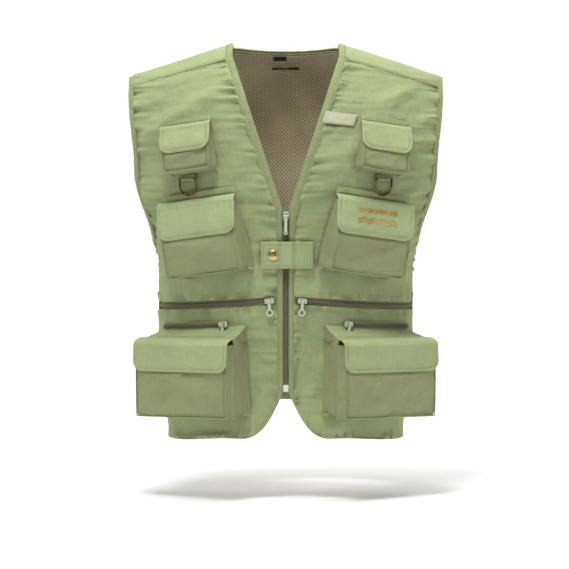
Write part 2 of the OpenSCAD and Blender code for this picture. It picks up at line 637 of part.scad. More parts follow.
module snap_dome() at_snap() rotate([90, 0, 0]) rotate_extrude($fn = 64)
    polygon(concat([[0, tab_low - 0.05], [2.45, tab_low - 0.05]],
        [[2.45, snap_face], [snap_d / 2, snap_face]],
        [for (a = [0:15:90]) [snap_d / 2 * cos(a), snap_face + 0.5 + 2.2 * sin(a)]]));
module snap_stud_body() at_snap() rotate([90, 0, 0]) {
    translate([0, 0, 0.8]) cylinder(h = 0.9, d = 10, $fn = 48);
    translate([0, 0, 1.2]) cylinder(h = 1.9, r = 2.1, $fn = 48);
}

// ---- the pale patch beside the V neck ----
patch_in = 3.5;                   // it starts this far inside the edge of the V
patch_clear = 7.4;                // and stops this far short of the chest flap
patch_up = 11;                    // its middle is this far above the chest flap's hinge
patch_size = 20;
patch_fall = 6;                   // it falls this much towards the chest flap
module patch_body() {
    to = centre_s(chest_p) - chest_flap_w / 2 / widen(chest_z) - patch_clear;
    q0 = frame_q([to, chest_z + patch_up]);
    from = front_s(q0) + patch_in;
    grid = [for (j = [0:2]) [for (i = [0:5])
        [mix(from, to, i / 5) + 2 * j, q0 + patch_size * (j / 2 - 0.5) - patch_fall * i / 5]]];
    patch(grid, 3.2, 0.8);
}

// ---- the sub-parts ----
module back_panel() color(sage) hung() back_body(20, 7, 6, 7, arm_margin, seam_gap / 2, 0, 0, cloth_t);
module back_lining() color(mesh_tan) hung()
    back_body(16, 4, 4, 6, arm_margin + 4, 3, 14, lining_off, lining_t);
module yoke_left() color(sage) hung() yoke();
module yoke_right() color(sage) hung() on_right() yoke();
module front_upper_left() color(sage) hung() front_upper();
module front_upper_right() color(sage) hung() on_right() front_upper();
module front_lower_left() color(sage) hung() front_lower();
module front_lower_right() color(sage) hung() on_right() front_lower();
module front_lining_left() color(mesh_tan) hung() front_lining();
module front_lining_right() color(mesh_tan) hung() on_right() front_lining();
module front_edge_left() color(band_sage) hung() front_edge();
module front_edge_right() color(band_sage) hung() on_right() front_edge();
module neck_binding() color(band_sage) hung() neck_strip();
module armhole_binding_left() color(band_sage) hung() armhole_rope();
module armhole_binding_right() color(band_sage) hung() on_right() armhole_rope();
module size_label() color([0.1, 0.1, 0.1]) hung() label_patch();
module hanger_loop() color([0.1, 0.1, 0.1]) hung() loop_strip();
module zip_tape_left() color(tape_taupe) hung() main_tape();
module zip_tape_right() color(tape_taupe) hung() on_right() main_tape();
module zip_teeth_left() color(tape_taupe) hung() main_teeth();
module zip_teeth_right() color(tape_taupe) hung() on_right() main_teeth();
module retainer_box() color([0.85, 0.87, 0.8]) hung()
    translate([-4, -half_d - 0.8, zip_low - 11]) cube([8, 4.4, 10.6]);
module main_slider() color(painted_sage) hung() at_main_zip() slider(0);
module main_pull() color(painted_sage) hung() at_main_zip() translate([0, -bar_n, 0])
    pull(main_pull_len, 6.5, 3);
module waist_tape_left() color(tape_taupe) hung() waist_tapes();
module waist_tape_right() color(tape_taupe) hung() on_right() waist_tapes();
module waist_coil_left() color(tape_taupe) hung() waist_coils();
module waist_coil_right() color(tape_taupe) hung() on_right() waist_coils();
module at_waist_slider() hung() zip_plane(waist_z, waist_fall) at_arc(waist_slider_s) children();
module waist_slider_left() color(painted_sage) at_waist_slider() side_slider();
module waist_slider_right() color(painted_sage) on_right() at_waist_slider() side_slider();
module waist_pull_left() color(painted_sage) at_waist_slider() translate([0, -bar_n, 0])
    pull(waist_pull_len, 11.4, 6.5);
module waist_pull_right() color(painted_sage) on_right() at_waist_slider() translate([0, -bar_n, 0])
    pull(waist_pull_len, 11.4, 6.5);
module lower_zip_left() color(tape_taupe) hung() lower_zip();
module lower_zip_right() color(tape_taupe) hung() on_right() lower_zip();
module at_lower_slider() hung() zip_plane(lower_zip_z, lower_zip_fall) at_arc(lower_slider_s)
    translate([0, -lower_zip_off, 0]) children();
module lower_slider_left() color(painted_sage) at_lower_slider() side_slider();
module lower_slider_right() color(painted_sage) on_right() at_lower_slider() side_slider();
module lower_pull_left() color(painted_sage) at_lower_slider() translate([0, -bar_n, 0])
    pull(lower_pull_len, 8, 4);
module lower_pull_right() color(painted_sage) on_right() at_lower_slider() translate([0, -bar_n, 0])
    pull(lower_pull_len, 8, 4);
module chest_pouch_left() color(sage) hung() pouch(chest_p);
module chest_pouch_right() color(sage) hung() on_right() pouch(chest_p);
module mid_pouch_left() color(sage) hung() pouch(mid_p);
module mid_pouch_right() color(sage) hung() on_right() pouch(mid_p);
module compartment_left() color(sage) hung() compartment_body(compartment_p);
module compartment_right() color(sage) hung() on_right() compartment_body(compartment_p);
module lower_pouch_left() color(sage) hung() pouch(lower_p);
module lower_pouch_right() color(sage) hung() on_right() pouch(lower_p);
module chest_flap_left() color(flap_sage) hung() flap(chest_p);
module chest_flap_right() color(flap_sage) hung() on_right() flap(chest_p);
module mid_flap_left() color(flap_sage) hung() flap(mid_p);
module mid_flap_right() color(flap_sage) hung() on_right() flap(mid_p);
module lower_flap_left() color(flap_sage) hung() flap(lower_p);
module lower_flap_right() color(flap_sage) hung() on_right() flap(lower_p);
module ring_loops() color(band_sage) hung() {
    ring_loop_body();
    on_right() ring_loop_body();
}
module d_ring_left() color(old_brass) hung() d_ring();
module d_ring_right() color(old_brass) hung() on_right() d_ring();
module snap_tab() color(flap_sage) hung() tab_body();
module snap_cap() color(old_brass) hung() {
    snap_cap_body();
    snap_dome();
}
module snap_stud() color(old_brass) hung() snap_stud_body();
module chest_patch() color([0.8, 0.8, 0.68]) hung() patch_body();
module loop_patches() color([0.15, 0.15, 0.13]) hung() for (p = [chest_p, mid_p, lower_p]) {
    loop_patch(p);
    on_right() loop_patch(p);
}

back_panel();
back_lining();
yoke_left();
yoke_right();
front_upper_left();
front_upper_right();
front_lower_left();
front_lower_right();
front_lining_left();
front_lining_right();
front_edge_left();
front_edge_right();
neck_binding();
armhole_binding_left();
armhole_binding_right();
size_label();
hanger_loop();
zip_tape_left();
zip_tape_right();
zip_teeth_left();
zip_teeth_right();
retainer_box();
main_slider();
main_pull();
waist_tape_left();
waist_tape_right();
waist_coil_left();
waist_coil_right();
waist_slider_left();
waist_slider_right();
waist_pull_left();
waist_pull_right();
lower_zip_left();
lower_zip_right();
lower_slider_left();
lower_slider_right();
lower_pull_left();
lower_pull_right();
chest_pouch_left();
chest_pouch_right();
mid_pouch_left();
mid_pouch_right();
compartment_left();
compartment_right();
lower_pouch_left();
lower_pouch_right();
chest_flap_left();
chest_flap_right();
mid_flap_left();
mid_flap_right();
lower_flap_left();
lower_flap_right();
ring_loops();
d_ring_left();
d_ring_right();
snap_tab();
snap_cap();
snap_stud();
chest_patch();
loop_patches();
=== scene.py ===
"""The looks of the fishing vest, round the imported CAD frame. Lengths are millimetres until placed."""
import math

import bpy
import numpy as np
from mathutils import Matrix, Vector


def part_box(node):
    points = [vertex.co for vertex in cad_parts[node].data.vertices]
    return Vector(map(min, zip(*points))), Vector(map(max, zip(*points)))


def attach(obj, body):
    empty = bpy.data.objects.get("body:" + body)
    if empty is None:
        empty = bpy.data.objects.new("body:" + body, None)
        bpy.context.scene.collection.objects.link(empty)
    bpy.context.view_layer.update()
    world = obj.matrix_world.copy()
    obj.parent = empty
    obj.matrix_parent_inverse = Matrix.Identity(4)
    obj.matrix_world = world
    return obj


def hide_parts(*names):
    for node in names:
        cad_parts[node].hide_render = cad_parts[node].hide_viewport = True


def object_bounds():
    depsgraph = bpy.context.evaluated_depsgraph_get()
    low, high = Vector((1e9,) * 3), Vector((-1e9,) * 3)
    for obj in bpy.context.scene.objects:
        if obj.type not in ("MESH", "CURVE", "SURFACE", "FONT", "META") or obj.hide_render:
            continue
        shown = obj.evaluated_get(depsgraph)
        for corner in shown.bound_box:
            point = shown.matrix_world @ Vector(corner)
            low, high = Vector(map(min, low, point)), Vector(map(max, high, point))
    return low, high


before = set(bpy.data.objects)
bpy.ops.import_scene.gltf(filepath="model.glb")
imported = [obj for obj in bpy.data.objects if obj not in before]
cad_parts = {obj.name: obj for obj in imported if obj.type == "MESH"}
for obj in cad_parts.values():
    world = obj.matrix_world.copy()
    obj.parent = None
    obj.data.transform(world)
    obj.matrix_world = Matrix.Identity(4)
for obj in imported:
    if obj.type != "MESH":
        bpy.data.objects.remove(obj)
CAD_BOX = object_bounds()


def lo_hi(node):
    """A CAD node's lowest and highest corners, in millimetres."""
    low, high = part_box(node)
    return np.array(low) * 1000, np.array(high) * 1000


# ---- the body's section, as in part.scad; its size and place come from the frame ----
TAPE_FACE = 2.9                                    # the zip tape lies this far behind the skin
HEM_Z = lo_hi("front_lower_left")[0][2]
BACK_Y = lo_hi("back_panel")[1][1]
HALF_D = (BACK_Y - lo_hi("zip_tape_left")[0][1] + TAPE_FACE) / 2
HALF_W = lo_hi("front_lower_left")[1][0]
ORIGIN = np.array([0.0, HALF_D - BACK_Y, -HEM_Z])  # the hanger loop, from the middle of the front hem
SIDE_R, SHOULDER_HALF, NECK_HALF, SLOPE, HEM_TUCK = 74.0, 250.0, 84.0, 0.34, 0.075
WAIST_Z, MID_Z, CHEST_Z, NECK_Z, LOWER_Z = 219.0, 377.0, 493.0, 621.0, 158.0
ARM_Z, V_Z, ARCH_Z, NECK_EDGE_Z = NECK_Z - 316, NECK_Z - 262, NECK_Z - 201, NECK_Z - 21
CUT_H, CUT_W, BACK_RISE = 86.0, 78.0, 28.0
BAND, ZIP_HALF, YOKE_FRONT, YOKE_BACK = 9.5, 4.5, 62.0, 105.0
FALL = 4.2                                         # the side zips fall by so many degrees to the side
WAIST_FALL = math.tan(math.radians(FALL))
WAIST_TAPE = 14.0
LOWER_ZIP_Z = 187.1

FRONT_R = (HALF_W**2 - 2 * HALF_W * SIDE_R + HALF_D**2) / (2 * (HALF_D - SIDE_R))
TURN = math.asin((HALF_W - SIDE_R) / (FRONT_R - SIDE_R))
FRONT_LEN = FRONT_R * TURN
HALF_LEN = FRONT_LEN + SIDE_R * (math.pi / 2 - TURN)
AXIS_Y = FRONT_R - HALF_D


def ease(a, b, z):
    t = np.clip((z - a) / (b - a), 0, 1)
    return t * t * (3 - 2 * t)


def mix(a, b, t):
    return a + (b - a) * t


def unit(v):
    return v / np.linalg.norm(v, axis=-1, keepdims=True)


def sec_x(s):
    a = np.abs(s)
    side = HALF_W - SIDE_R + SIDE_R * np.sin(TURN + (a - FRONT_LEN) / SIDE_R)
    return np.sign(s) * np.where(a < FRONT_LEN, FRONT_R * np.sin(a / FRONT_R), side)


def sec_y(s):
    a = np.abs(s)
    side = SIDE_R * np.cos(TURN + (a - FRONT_LEN) / SIDE_R)
    return np.where(a < FRONT_LEN, FRONT_R * np.cos(a / FRONT_R) - AXIS_Y, side)


def sec_s(x):
    return FRONT_R * np.arcsin(x / FRONT_R)


TOP_WIDEN = SHOULDER_HALF / float(sec_x(FRONT_LEN))


def widen(z):
    flare = 0.86 * ease(ARM_Z - 35, ARCH_Z, z) + 0.14 * ease(ARCH_Z, ARCH_Z + 120, z)
    return 1 - HEM_TUCK * (1 - ease(0, 110, z)) + (TOP_WIDEN - 1) * flare


def rise_r(s):
    x = TOP_WIDEN * sec_x(s)
    return NECK_Z + SLOPE * (np.hypot(NECK_HALF, 40) - np.hypot(x, 40)) - ARCH_Z


def arch_q(s, angle):
    return ARCH_Z + rise_r(s) * np.radians(angle)


def skin_pt(s, q):
    s, q = np.broadcast_arrays(np.asarray(s, float), np.asarray(q, float))
    r = rise_r(s)
    a = np.where(q < ARCH_Z, 0, (q - ARCH_Z) / r)
    z = np.where(q < ARCH_Z, q, ARCH_Z + r * np.sin(a))
    return np.stack([widen(z) * sec_x(s), -sec_y(s) * np.cos(a), z], -1)


def outward(s, q):
    ds = skin_pt(s + 0.5, q) - skin_pt(s - 0.5, q)
    dq = skin_pt(s, q + 0.5) - skin_pt(s, q - 0.5)
    return unit(np.cross(ds, dq))


def skin(s, q, off=0.0):
    return skin_pt(s, q) + np.asarray(off)[..., None] * outward(s, q)


# ---- soft noise ----
def lattice(ix, iy, seed):
    h = np.sin(ix * 127.1 + iy * 311.7 + seed * 74.7) * 43758.5453
    return h - np.floor(h)


def noise(x, y, seed=0):
    """Smooth noise from -1 to 1 with features about one unit across."""
    ix, iy = np.floor(x), np.floor(y)
    fx, fy = x - ix, y - iy
    fx, fy = fx * fx * (3 - 2 * fx), fy * fy * (3 - 2 * fy)
    a = mix(lattice(ix, iy, seed), lattice(ix + 1, iy, seed), fx)
    b = mix(lattice(ix, iy + 1, seed), lattice(ix + 1, iy + 1, seed), fx)
    return 2 * mix(a, b, fy) - 1


def folds(x, y, angle, length, width, seed):
    """Long soft creases: noise stretched along a direction given in degrees."""
    c, s = math.cos(math.radians(angle)), math.sin(math.radians(angle))
    n = noise((x * c + y * s) / length, (-x * s + y * c) / width, seed)
    return np.sign(n) * np.abs(n) ** 1.3


# ---- meshes ----
def place(points, side=1):
    """Millimetres from the middle of the front hem, to metres in the row frame."""
    p = np.array(points, float).reshape(-1, 3) * [side, 1, 1]
    return (p - ORIGIN) / 1000


def to_object(name, points, faces, side=1, uv=None, body="vest", slot=None, material=None, sharp=45):
    if side < 0:
        faces = [f[::-1] for f in faces]
    mesh = bpy.data.meshes.new(name)
    mesh.from_pydata(place(points, side).tolist(), [], faces)
    if uv is not None:
        layer = mesh.uv_layers.new(name="UVMap")
        index = np.empty(len(mesh.loops), int)
        mesh.loops.foreach_get("vertex_index", index)
        layer.data.foreach_set("uv", np.asarray(uv, float).reshape(-1, 2)[index].ravel())
    mesh.validate()
    mesh.shade_smooth()
    mesh.set_sharp_from_angle(angle=math.radians(sharp))
    obj = bpy.data.objects.new(name, mesh)
    bpy.context.scene.collection.objects.link(obj)
    if material:
        mesh.materials.append(material)
    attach(obj, body)
    return obj


def grid_faces(nr, nc, start=0, flip=False):
    a = (np.arange(nr - 1)[:, None] * nc + np.arange(nc - 1)[None]).ravel() + start
    f = np.stack([a, a + 1, a + nc + 1, a + nc], -1)
    return (f[:, ::-1] if flip else f).tolist()


def shell(name, outer, inner, uv=None, **how):
    """A closed sheet between two matching grids of points. Outer is seen with u to the right and v up."""
    nr, nc = outer.shape[:2]
    n = nr * nc
    faces = grid_faces(nr, nc) + grid_faces(nr, nc, n, True)
    for i in range(nc - 1):
        b = (nr - 1) * nc + i
        faces += [[i, n + i, n + i + 1, i + 1], [b, b + 1, n + b + 1, n + b]]
    for j in range(nr - 1):
        a, b = j * nc, j * nc + nc - 1
        faces += [[a, a + nc, n + a + nc, n + a], [b, n + b, n + b + nc, b + nc]]
    if uv is not None:
        uv = np.concatenate([uv.reshape(-1, 2), uv.reshape(-1, 2)])
    points = np.concatenate([outer.reshape(-1, 3), inner.reshape(-1, 3)])
    return to_object(name, points, faces, uv=uv, **how)


def cut(name, outer, inner, uv, node=None, flat=None, held="hung", rests_on=("back_panel",), **how):
    """A cut of cloth: its mesh, and the CAD node that it stands for, which is hidden."""
    obj = shell(name, outer, inner, uv, **how)
    if node:
        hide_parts(node)


# ---- materials ----
class Graph:
    """A new material's node tree, with short ways to add to it."""

    def __init__(self, name):
        self.mat = bpy.data.materials.new(name)
        self.mat.use_nodes = True
        self.nodes, self.links = self.mat.node_tree.nodes, self.mat.node_tree.links
        self.shader = self.nodes["Principled BSDF"]
        self.coords = self.add("TexCoord").outputs

    def feed(self, node, values):
        """Set or link a node's inputs, by name or number."""
        for key, value in values.items():
            if isinstance(value, bpy.types.NodeSocket):
                self.links.new(value, node.inputs[key])
            else:
                node.inputs[key].default_value = value
        return node

    def add(self, kind, values=None):
        return self.feed(self.nodes.new("ShaderNode" + kind), values or {})

    def math(self, kind, *values):
        node = self.add("Math", dict(enumerate(values)))
        node.operation = kind
        return node.outputs[0]

    def plus(self, a, b):
        return self.math("ADD", a, b)

    def minus(self, a, b):
        return self.math("SUBTRACT", a, b)

    def times(self, a, b):
        return self.math("MULTIPLY", a, b)

    def tinted(self, colour, by):
        node = self.add("MixRGB", {0: 1, 1: colour, 2: by})
        node.blend_type = "MULTIPLY"
        return node.outputs[0]

    def noise(self, vector, scale, detail, stretch=None):
        if stretch:
            vector = self.add("Mapping", {"Vector": vector, "Scale": stretch}).outputs[0]
        return self.add("TexNoise", {"Vector": vector, "Scale": scale, "Detail": detail}).outputs["Fac"]

    def ramp(self, fac, stops):
        node = self.add("ValToRGB", {"Fac": fac})
        ends = node.color_ramp.elements
        ends[0].position, ends[0].color = stops[0][0], (*stops[0][1], 1)
        ends[1].position, ends[1].color = stops[-1][0], (*stops[-1][1], 1)
        for at, colour in stops[1:-1]:
            ends.new(at).color = (*colour, 1)
        return node.outputs["Color"]

    def greys(self, fac, stops):
        return self.ramp(fac, [(at, (level,) * 3) for at, level in stops])

    def bump(self, height, strength, distance, normal=None, invert=False):
        node = self.add("Bump", {"Height": height, "Strength": strength, "Distance": distance})
        node.invert = invert
        return self.feed(node, {"Normal": normal} if normal else {}).outputs[0]


def srgb(r, g, b):
    return tuple((c / 255 / 12.92) if c <= 10 else ((c / 255 + 0.055) / 1.055) ** 2.4 for c in (r, g, b))


def cloth(name, colour, pitch=0.0011, bump=0.35, spread=0.10, sheen=0.25, rough=0.88, coords="UV"):
    """Plain-weave cloth: crossing threads, slubs along the thread, broad fading, painted shade in hollows and
    a crumpled face.
    """
    g = Graph(name)
    thread_at, whole = g.coords[coords], g.coords["Object"]
    split = g.add("SeparateXYZ", {0: thread_at}).outputs
    turns = 2 * math.pi / pitch
    u = g.math("SINE", g.times(split[0], turns))
    v = g.math("SINE", g.times(split[1 if coords == "UV" else 2], turns))
    weave = g.times(u, v)
    slub = g.plus(g.noise(thread_at, 60, 2, (1, 14, 14)), g.noise(thread_at, 60, 2, (14, 1, 1)))
    broad = g.noise(whole, 9, 4)
    blend = g.plus(g.plus(g.times(slub, 0.34), g.times(broad, 0.32)), g.times(weave, 0.10))
    dark = tuple(c * (1 - spread * 1.9) for c in colour)
    light = tuple(min(1, c * (1 + spread)) for c in colour)
    tone = g.ramp(blend, [(0.32, dark), (0.52, colour), (0.68, light)])
    # painted shade: ambient occlusion darkens the colour, with a brownish tint, in creases, hollows and under
    # parts
    hollow_shade_ao = g.add("AmbientOcclusion", {"Distance": 0.07})
    hollow_shade_ao.samples = 4
    shade = g.ramp(hollow_shade_ao.outputs["AO"], [(0.15, (0.62, 0.55, 0.56)), (0.85, (1, 1, 1))])
    crumple = g.plus(g.noise(whole, 42, 3, (1, 1, 0.55)), g.times(g.noise(whole, 120, 2), 0.2))
    threads = g.plus(g.times(weave, 0.5), g.times(slub, 1.2))
    g.feed(g.shader, {
        "Base Color": g.tinted(tone, shade),
        "Normal": g.bump(threads, bump, 0.0004, g.bump(crumple, 0.5, 0.006)),
        "Roughness": rough, "Sheen Weight": sheen, "Sheen Roughness": 0.5,
        "Sheen Tint": (*tuple(min(1, c * 1.5) for c in colour), 1)})
    return g.mat


def mesh_cloth(name, thread, gap):
    """Warp-knit mesh: rows of six-sided holes."""
    g = Graph(name)
    slant = {"Vector": g.coords["UV"], "Rotation": (0, 0, math.radians(45)), "Scale": (300, 220, 1)}
    turned = g.add("Mapping", slant).outputs[0]
    cells = g.add("TexVoronoi", {"Vector": turned, "Scale": 1.0, "Randomness": 0.0})
    cells.feature = "DISTANCE_TO_EDGE"
    rim = cells.outputs["Distance"]
    holes = g.ramp(rim, [(0.16, thread), (0.34, gap)])
    faded = g.ramp(g.noise(g.coords["Object"], 14, 4), [(0.3, (0.72, 0.70, 0.66)), (0.7, (1, 1, 1))])
    g.feed(g.shader, {"Base Color": g.tinted(holes, faded), "Normal": g.bump(rim, 0.8, 0.0006, invert=True),
                      "Roughness": 0.8, "Sheen Weight": 0.15})
    return g.mat


def hard(name, colour, worn, metallic=0.0, rough=0.4, coat=0.0):
    """Paint, metal or plastic with rubbed edges and fine unevenness."""
    g = Graph(name)
    fine, coarse = g.noise(g.coords["Object"], 260, 5), g.noise(g.coords["Object"], 52, 3)
    edge = g.times(g.minus(g.add("NewGeometry").outputs["Pointiness"], 0.5), 5.0)
    wear = g.plus(edge, g.times(g.plus(fine, coarse), 0.5))
    dark = tuple(c * 0.72 for c in colour)
    g.feed(g.shader, {
        "Base Color": g.ramp(wear, [(0.42, dark), (0.52, colour), (0.78, worn)]),
        "Roughness": g.greys(fine, [(0.3, rough * 0.75), (0.7, min(1, rough * 1.35))]),
        "Normal": g.bump(fine, 0.15, 0.0002), "Metallic": metallic, "Coat Weight": coat})
    return g.mat


SHELL = cloth("shell_cloth", srgb(160, 172, 122))
# painted shade: the pouches' cloth is the shell cloth made darker and browner, for the shade that falls on
# them
SHADED_POCKET = cloth("pocket_cloth", srgb(146, 152, 108))
FLAP = cloth("flap_cloth", srgb(165, 178, 127))
BINDING = cloth("binding_cloth", srgb(150, 163, 113), pitch=0.0009, bump=0.5)
TAPE = cloth("zip_tape_cloth", srgb(170, 163, 136), pitch=0.0016, bump=0.8, spread=0.14, sheen=0.1)
WEBBING = cloth("webbing_cloth", srgb(150, 158, 118), pitch=0.002, bump=1.0, spread=0.12)
PALE = cloth("pale_pile", srgb(205, 206, 176), pitch=0.0018, bump=1.0, spread=0.08, sheen=0.6)
LOOPS = cloth("loop_pile", srgb(40, 40, 34), pitch=0.0014, bump=1.0, spread=0.2, sheen=0.6)
LINING = mesh_cloth("mesh_lining", srgb(216, 204, 170), srgb(124, 112, 84))
THREAD = cloth("thread", srgb(150, 158, 116), pitch=0.0006, bump=0.6, coords="Object", sheen=0.4)
GOLD = cloth("gold_thread", srgb(226, 168, 62), pitch=0.0006, bump=0.8, coords="Object", spread=0.18,
             sheen=0.5)
COIL = hard("nylon_coil", srgb(156, 150, 126), srgb(186, 182, 156), rough=0.45)
PAINT = hard("sage_paint", srgb(164, 180, 136), srgb(196, 208, 172), rough=0.38, coat=0.3)
BRASS = hard("antique_brass", srgb(96, 74, 46), srgb(190, 160, 104), metallic=1.0, rough=0.34)
SNAP = hard("snap_brass", srgb(196, 160, 100), srgb(240, 214, 160), metallic=1.0, rough=0.25)
CLEAR = hard("retainer_plastic", srgb(196, 200, 184), srgb(224, 226, 214), rough=0.3, coat=0.4)


# ---- sewing thread: every seam's stitches are real, one mesh for each body ----
STITCHES = {}
FRONT, BACK = np.array([1, 1, 1]), np.array([1, -1, 1])
ring = [(math.cos(a) * 0.30, math.sin(a) * 0.24) for a in np.arange(6) * math.pi / 3]
STITCH_POINTS = np.array([(-1.2, 0, 0)] + [(-0.85, y, z) for y, z in ring] + [(0.85, y, z) for y, z in ring]
                         + [(1.2, 0, 0)])
STITCH_FACES = ([[0, 1 + (k + 1) % 6, 1 + k] for k in range(6)]
                + [[1 + k, 1 + (k + 1) % 6, 7 + (k + 1) % 6, 7 + k] for k in range(6)]
                + [[7 + k, 7 + (k + 1) % 6, 13] for k in range(6)])


def lengths(points):
    """The distance to each point along a line of them."""
    return np.r_[0, np.cumsum(np.linalg.norm(np.diff(points, axis=0), axis=1))]


def read_at(at, d, values):
    return np.stack([np.interp(at, d, values[:, k]) for k in range(values.shape[1])], -1)


def along(points, step):
    """Places every step along a line of points, with the direction there and the share of the way."""
    d = lengths(points)
    at = np.arange(step / 2, d[-1], step)
    run = read_at(at + 0.4, d, points) - read_at(at - 0.4, d, points)
    return read_at(at, d, points), unit(run + 1e-9), at / d[-1]


def stitch(points, normals, side=1, body="vest", step=3.3, size=1.0, thread="thread"):
    """Stitches along a line of points; one normal does for a flat line."""
    p, run, t = along(points, step)
    if not len(p):
        return
    normals = np.broadcast_to(normals, points.shape)
    n = unit(read_at(t, np.linspace(0, 1, len(normals)), normals))
    across = unit(np.cross(n, run))
    n = np.cross(run, across)
    local = STITCH_POINTS * size
    verts = (p[:, None] + run[:, None] * local[None, :, :1] + across[:, None] * local[None, :, 1:2]
             + n[:, None] * (local[None, :, 2:3] + 0.12))
    STITCHES.setdefault((body, thread), []).append(verts.reshape(-1, 3) * [side, 1, 1])


def seam(s, q, lift, side=1, facing=FRONT, **how):
    """Stitches along a line on the body's skin."""
    stitch(skin(s, q, lift) * facing, outward(s, q) * facing, side, **how)


def sew_all():
    for (body, thread), parts in sorted(STITCHES.items()):
        points = np.concatenate(parts)
        count = len(points) // len(STITCH_POINTS)
        faces = [[i * len(STITCH_POINTS) + k for k in f] for i in range(count) for f in STITCH_FACES]
        to_object(f"{thread}_{body}", points, faces, body=body, sharp=180,
                  slot="shell_cloth", material=GOLD if thread == "gold" else THREAD)


EDGE_SIDES = (("left", 1), ("right", -1))


# ---- body panels ----
def arm_s(q, m=0.0):
    u = np.clip((q - ARM_Z + m) / (ARCH_Z - ARM_Z + m), 0, 1)
    curve = HALF_LEN - (HALF_LEN - FRONT_LEN + m) * np.sqrt(np.clip(1 - (1 - u) ** 2, 0, 1))
    return np.where(q <= ARM_Z - m, HALF_LEN, curve)


def front_s(q):
    r = NECK_Z - ARCH_Z
    z = np.where(q < ARCH_Z, q, ARCH_Z + r * np.sin(np.clip((q - ARCH_Z) / r, 0, math.pi / 2)))
    t = np.clip((z - V_Z) / (NECK_EDGE_Z - V_Z), 0, 1)
    return sec_s(mix(ZIP_HALF, NECK_HALF, t) / np.where(z < V_Z, 1, widen(z)))


NECK_S = float(sec_s(NECK_HALF / TOP_WIDEN))


def hem_q(s):
    return np.where(s > CUT_W, 0, CUT_H * (1 - np.clip(s / CUT_W, 0, 1)) ** 2.4) - 7.0 * ease(90, 210, s)


def back_hem_q(s):
    return mix(BACK_RISE + 13.0, float(hem_q(np.array(HALF_LEN))), ease(0.42 * HALF_LEN, HALF_LEN, np.abs(s)))


def waist_line(s):
    return WAIST_Z - WAIST_FALL * sec_x(s)


def edge_fade(u, v, wide=0.12):
    """0 at the rim of a panel and 1 inside it."""
    d = np.minimum(np.minimum(u, 1 - u), np.minimum(v, 1 - v))
    return ease(0, wide, d)


def drape(s, q, side, fade):
    """How far the cloth stands off its plain shape: broad hang, drag lines and small puckers."""
    x = s * side
    broad = 6.0 * folds(x, q, 80, 230, 58, 3) + 4.6 * folds(x, q, 62, 150, 34, 11)
    fine = 3.6 * folds(x, q, 38, 90, 22, 17) + 0.8 * noise(x / 11, q / 14, 23)
    low = 1.0 + 0.5 * ease(150, 40, q)
    return fade * (broad * low + fine - 1.0)


def pucker(d, t, reach=22.0, wave=11.0, size=1.7, seed=5):
    """Ripples that run in from a seam: d from the seam, t along it."""
    n = noise(t / wave, d / 60 + 3, seed) + 0.5 * noise(t / wave * 2.1, d / 40, seed + 2)
    return 3.4 * size * n * np.exp(-np.clip(d, 0, None) / (1.5 * reach))


CLOTH_T, LINING_T = 0.9, 0.7
FOLD_IN, FOLD_OUT = 4.4, 9.0                       # how far a fold may go in and out at the most
LAP = BAND - 1.5                                   # a panel starts this far from the edge, under the band
UV_SCALE = 1 / 1000


def flat_uv(a, b):
    return np.stack([a, b], -1) * UV_SCALE


def rows(lo, hi, n):
    return mix(lo[None], hi[None], np.linspace(0, 1, n)[:, None])


def rim_fade(q, wide=0.12):
    u, v = np.linspace(0, 1, q.shape[1])[None], np.linspace(0, 1, q.shape[0])[:, None]
    return edge_fade(*np.broadcast_arrays(u, v), wide)


def gather(d, t, reach, wave, size, seed, seam_w=4):
    """Puckers that run in from a seam which itself lies flat."""
    return pucker(d, t, reach, wave, size, seed) * ease(0, seam_w, d)


def panel(name, s, q, off, side, node, facing=FRONT, base=0.0, lining=False, rests_on=("back_panel",)):
    """A cut of the body's cloth at s and q, standing off its plain shape."""
    if not lining:
        off = np.where(off < 0, FOLD_IN * np.tanh(off / FOLD_IN), FOLD_OUT * np.tanh(off / FOLD_OUT))
    thick = LINING_T if lining else CLOTH_T
    grids = [skin(s, q, level) * facing for level in (off + base, off + base - thick, base)] + [flat_uv(s, q)]
    if facing is BACK:
        grids = [g[:, ::-1] for g in grids]
    outer, inner, plain, uv = grids
    cut(name, outer, inner, uv, node, plain, rests_on=rests_on, side=side,
        slot="mesh_lining" if lining else "shell_cloth", material=LINING if lining else SHELL)


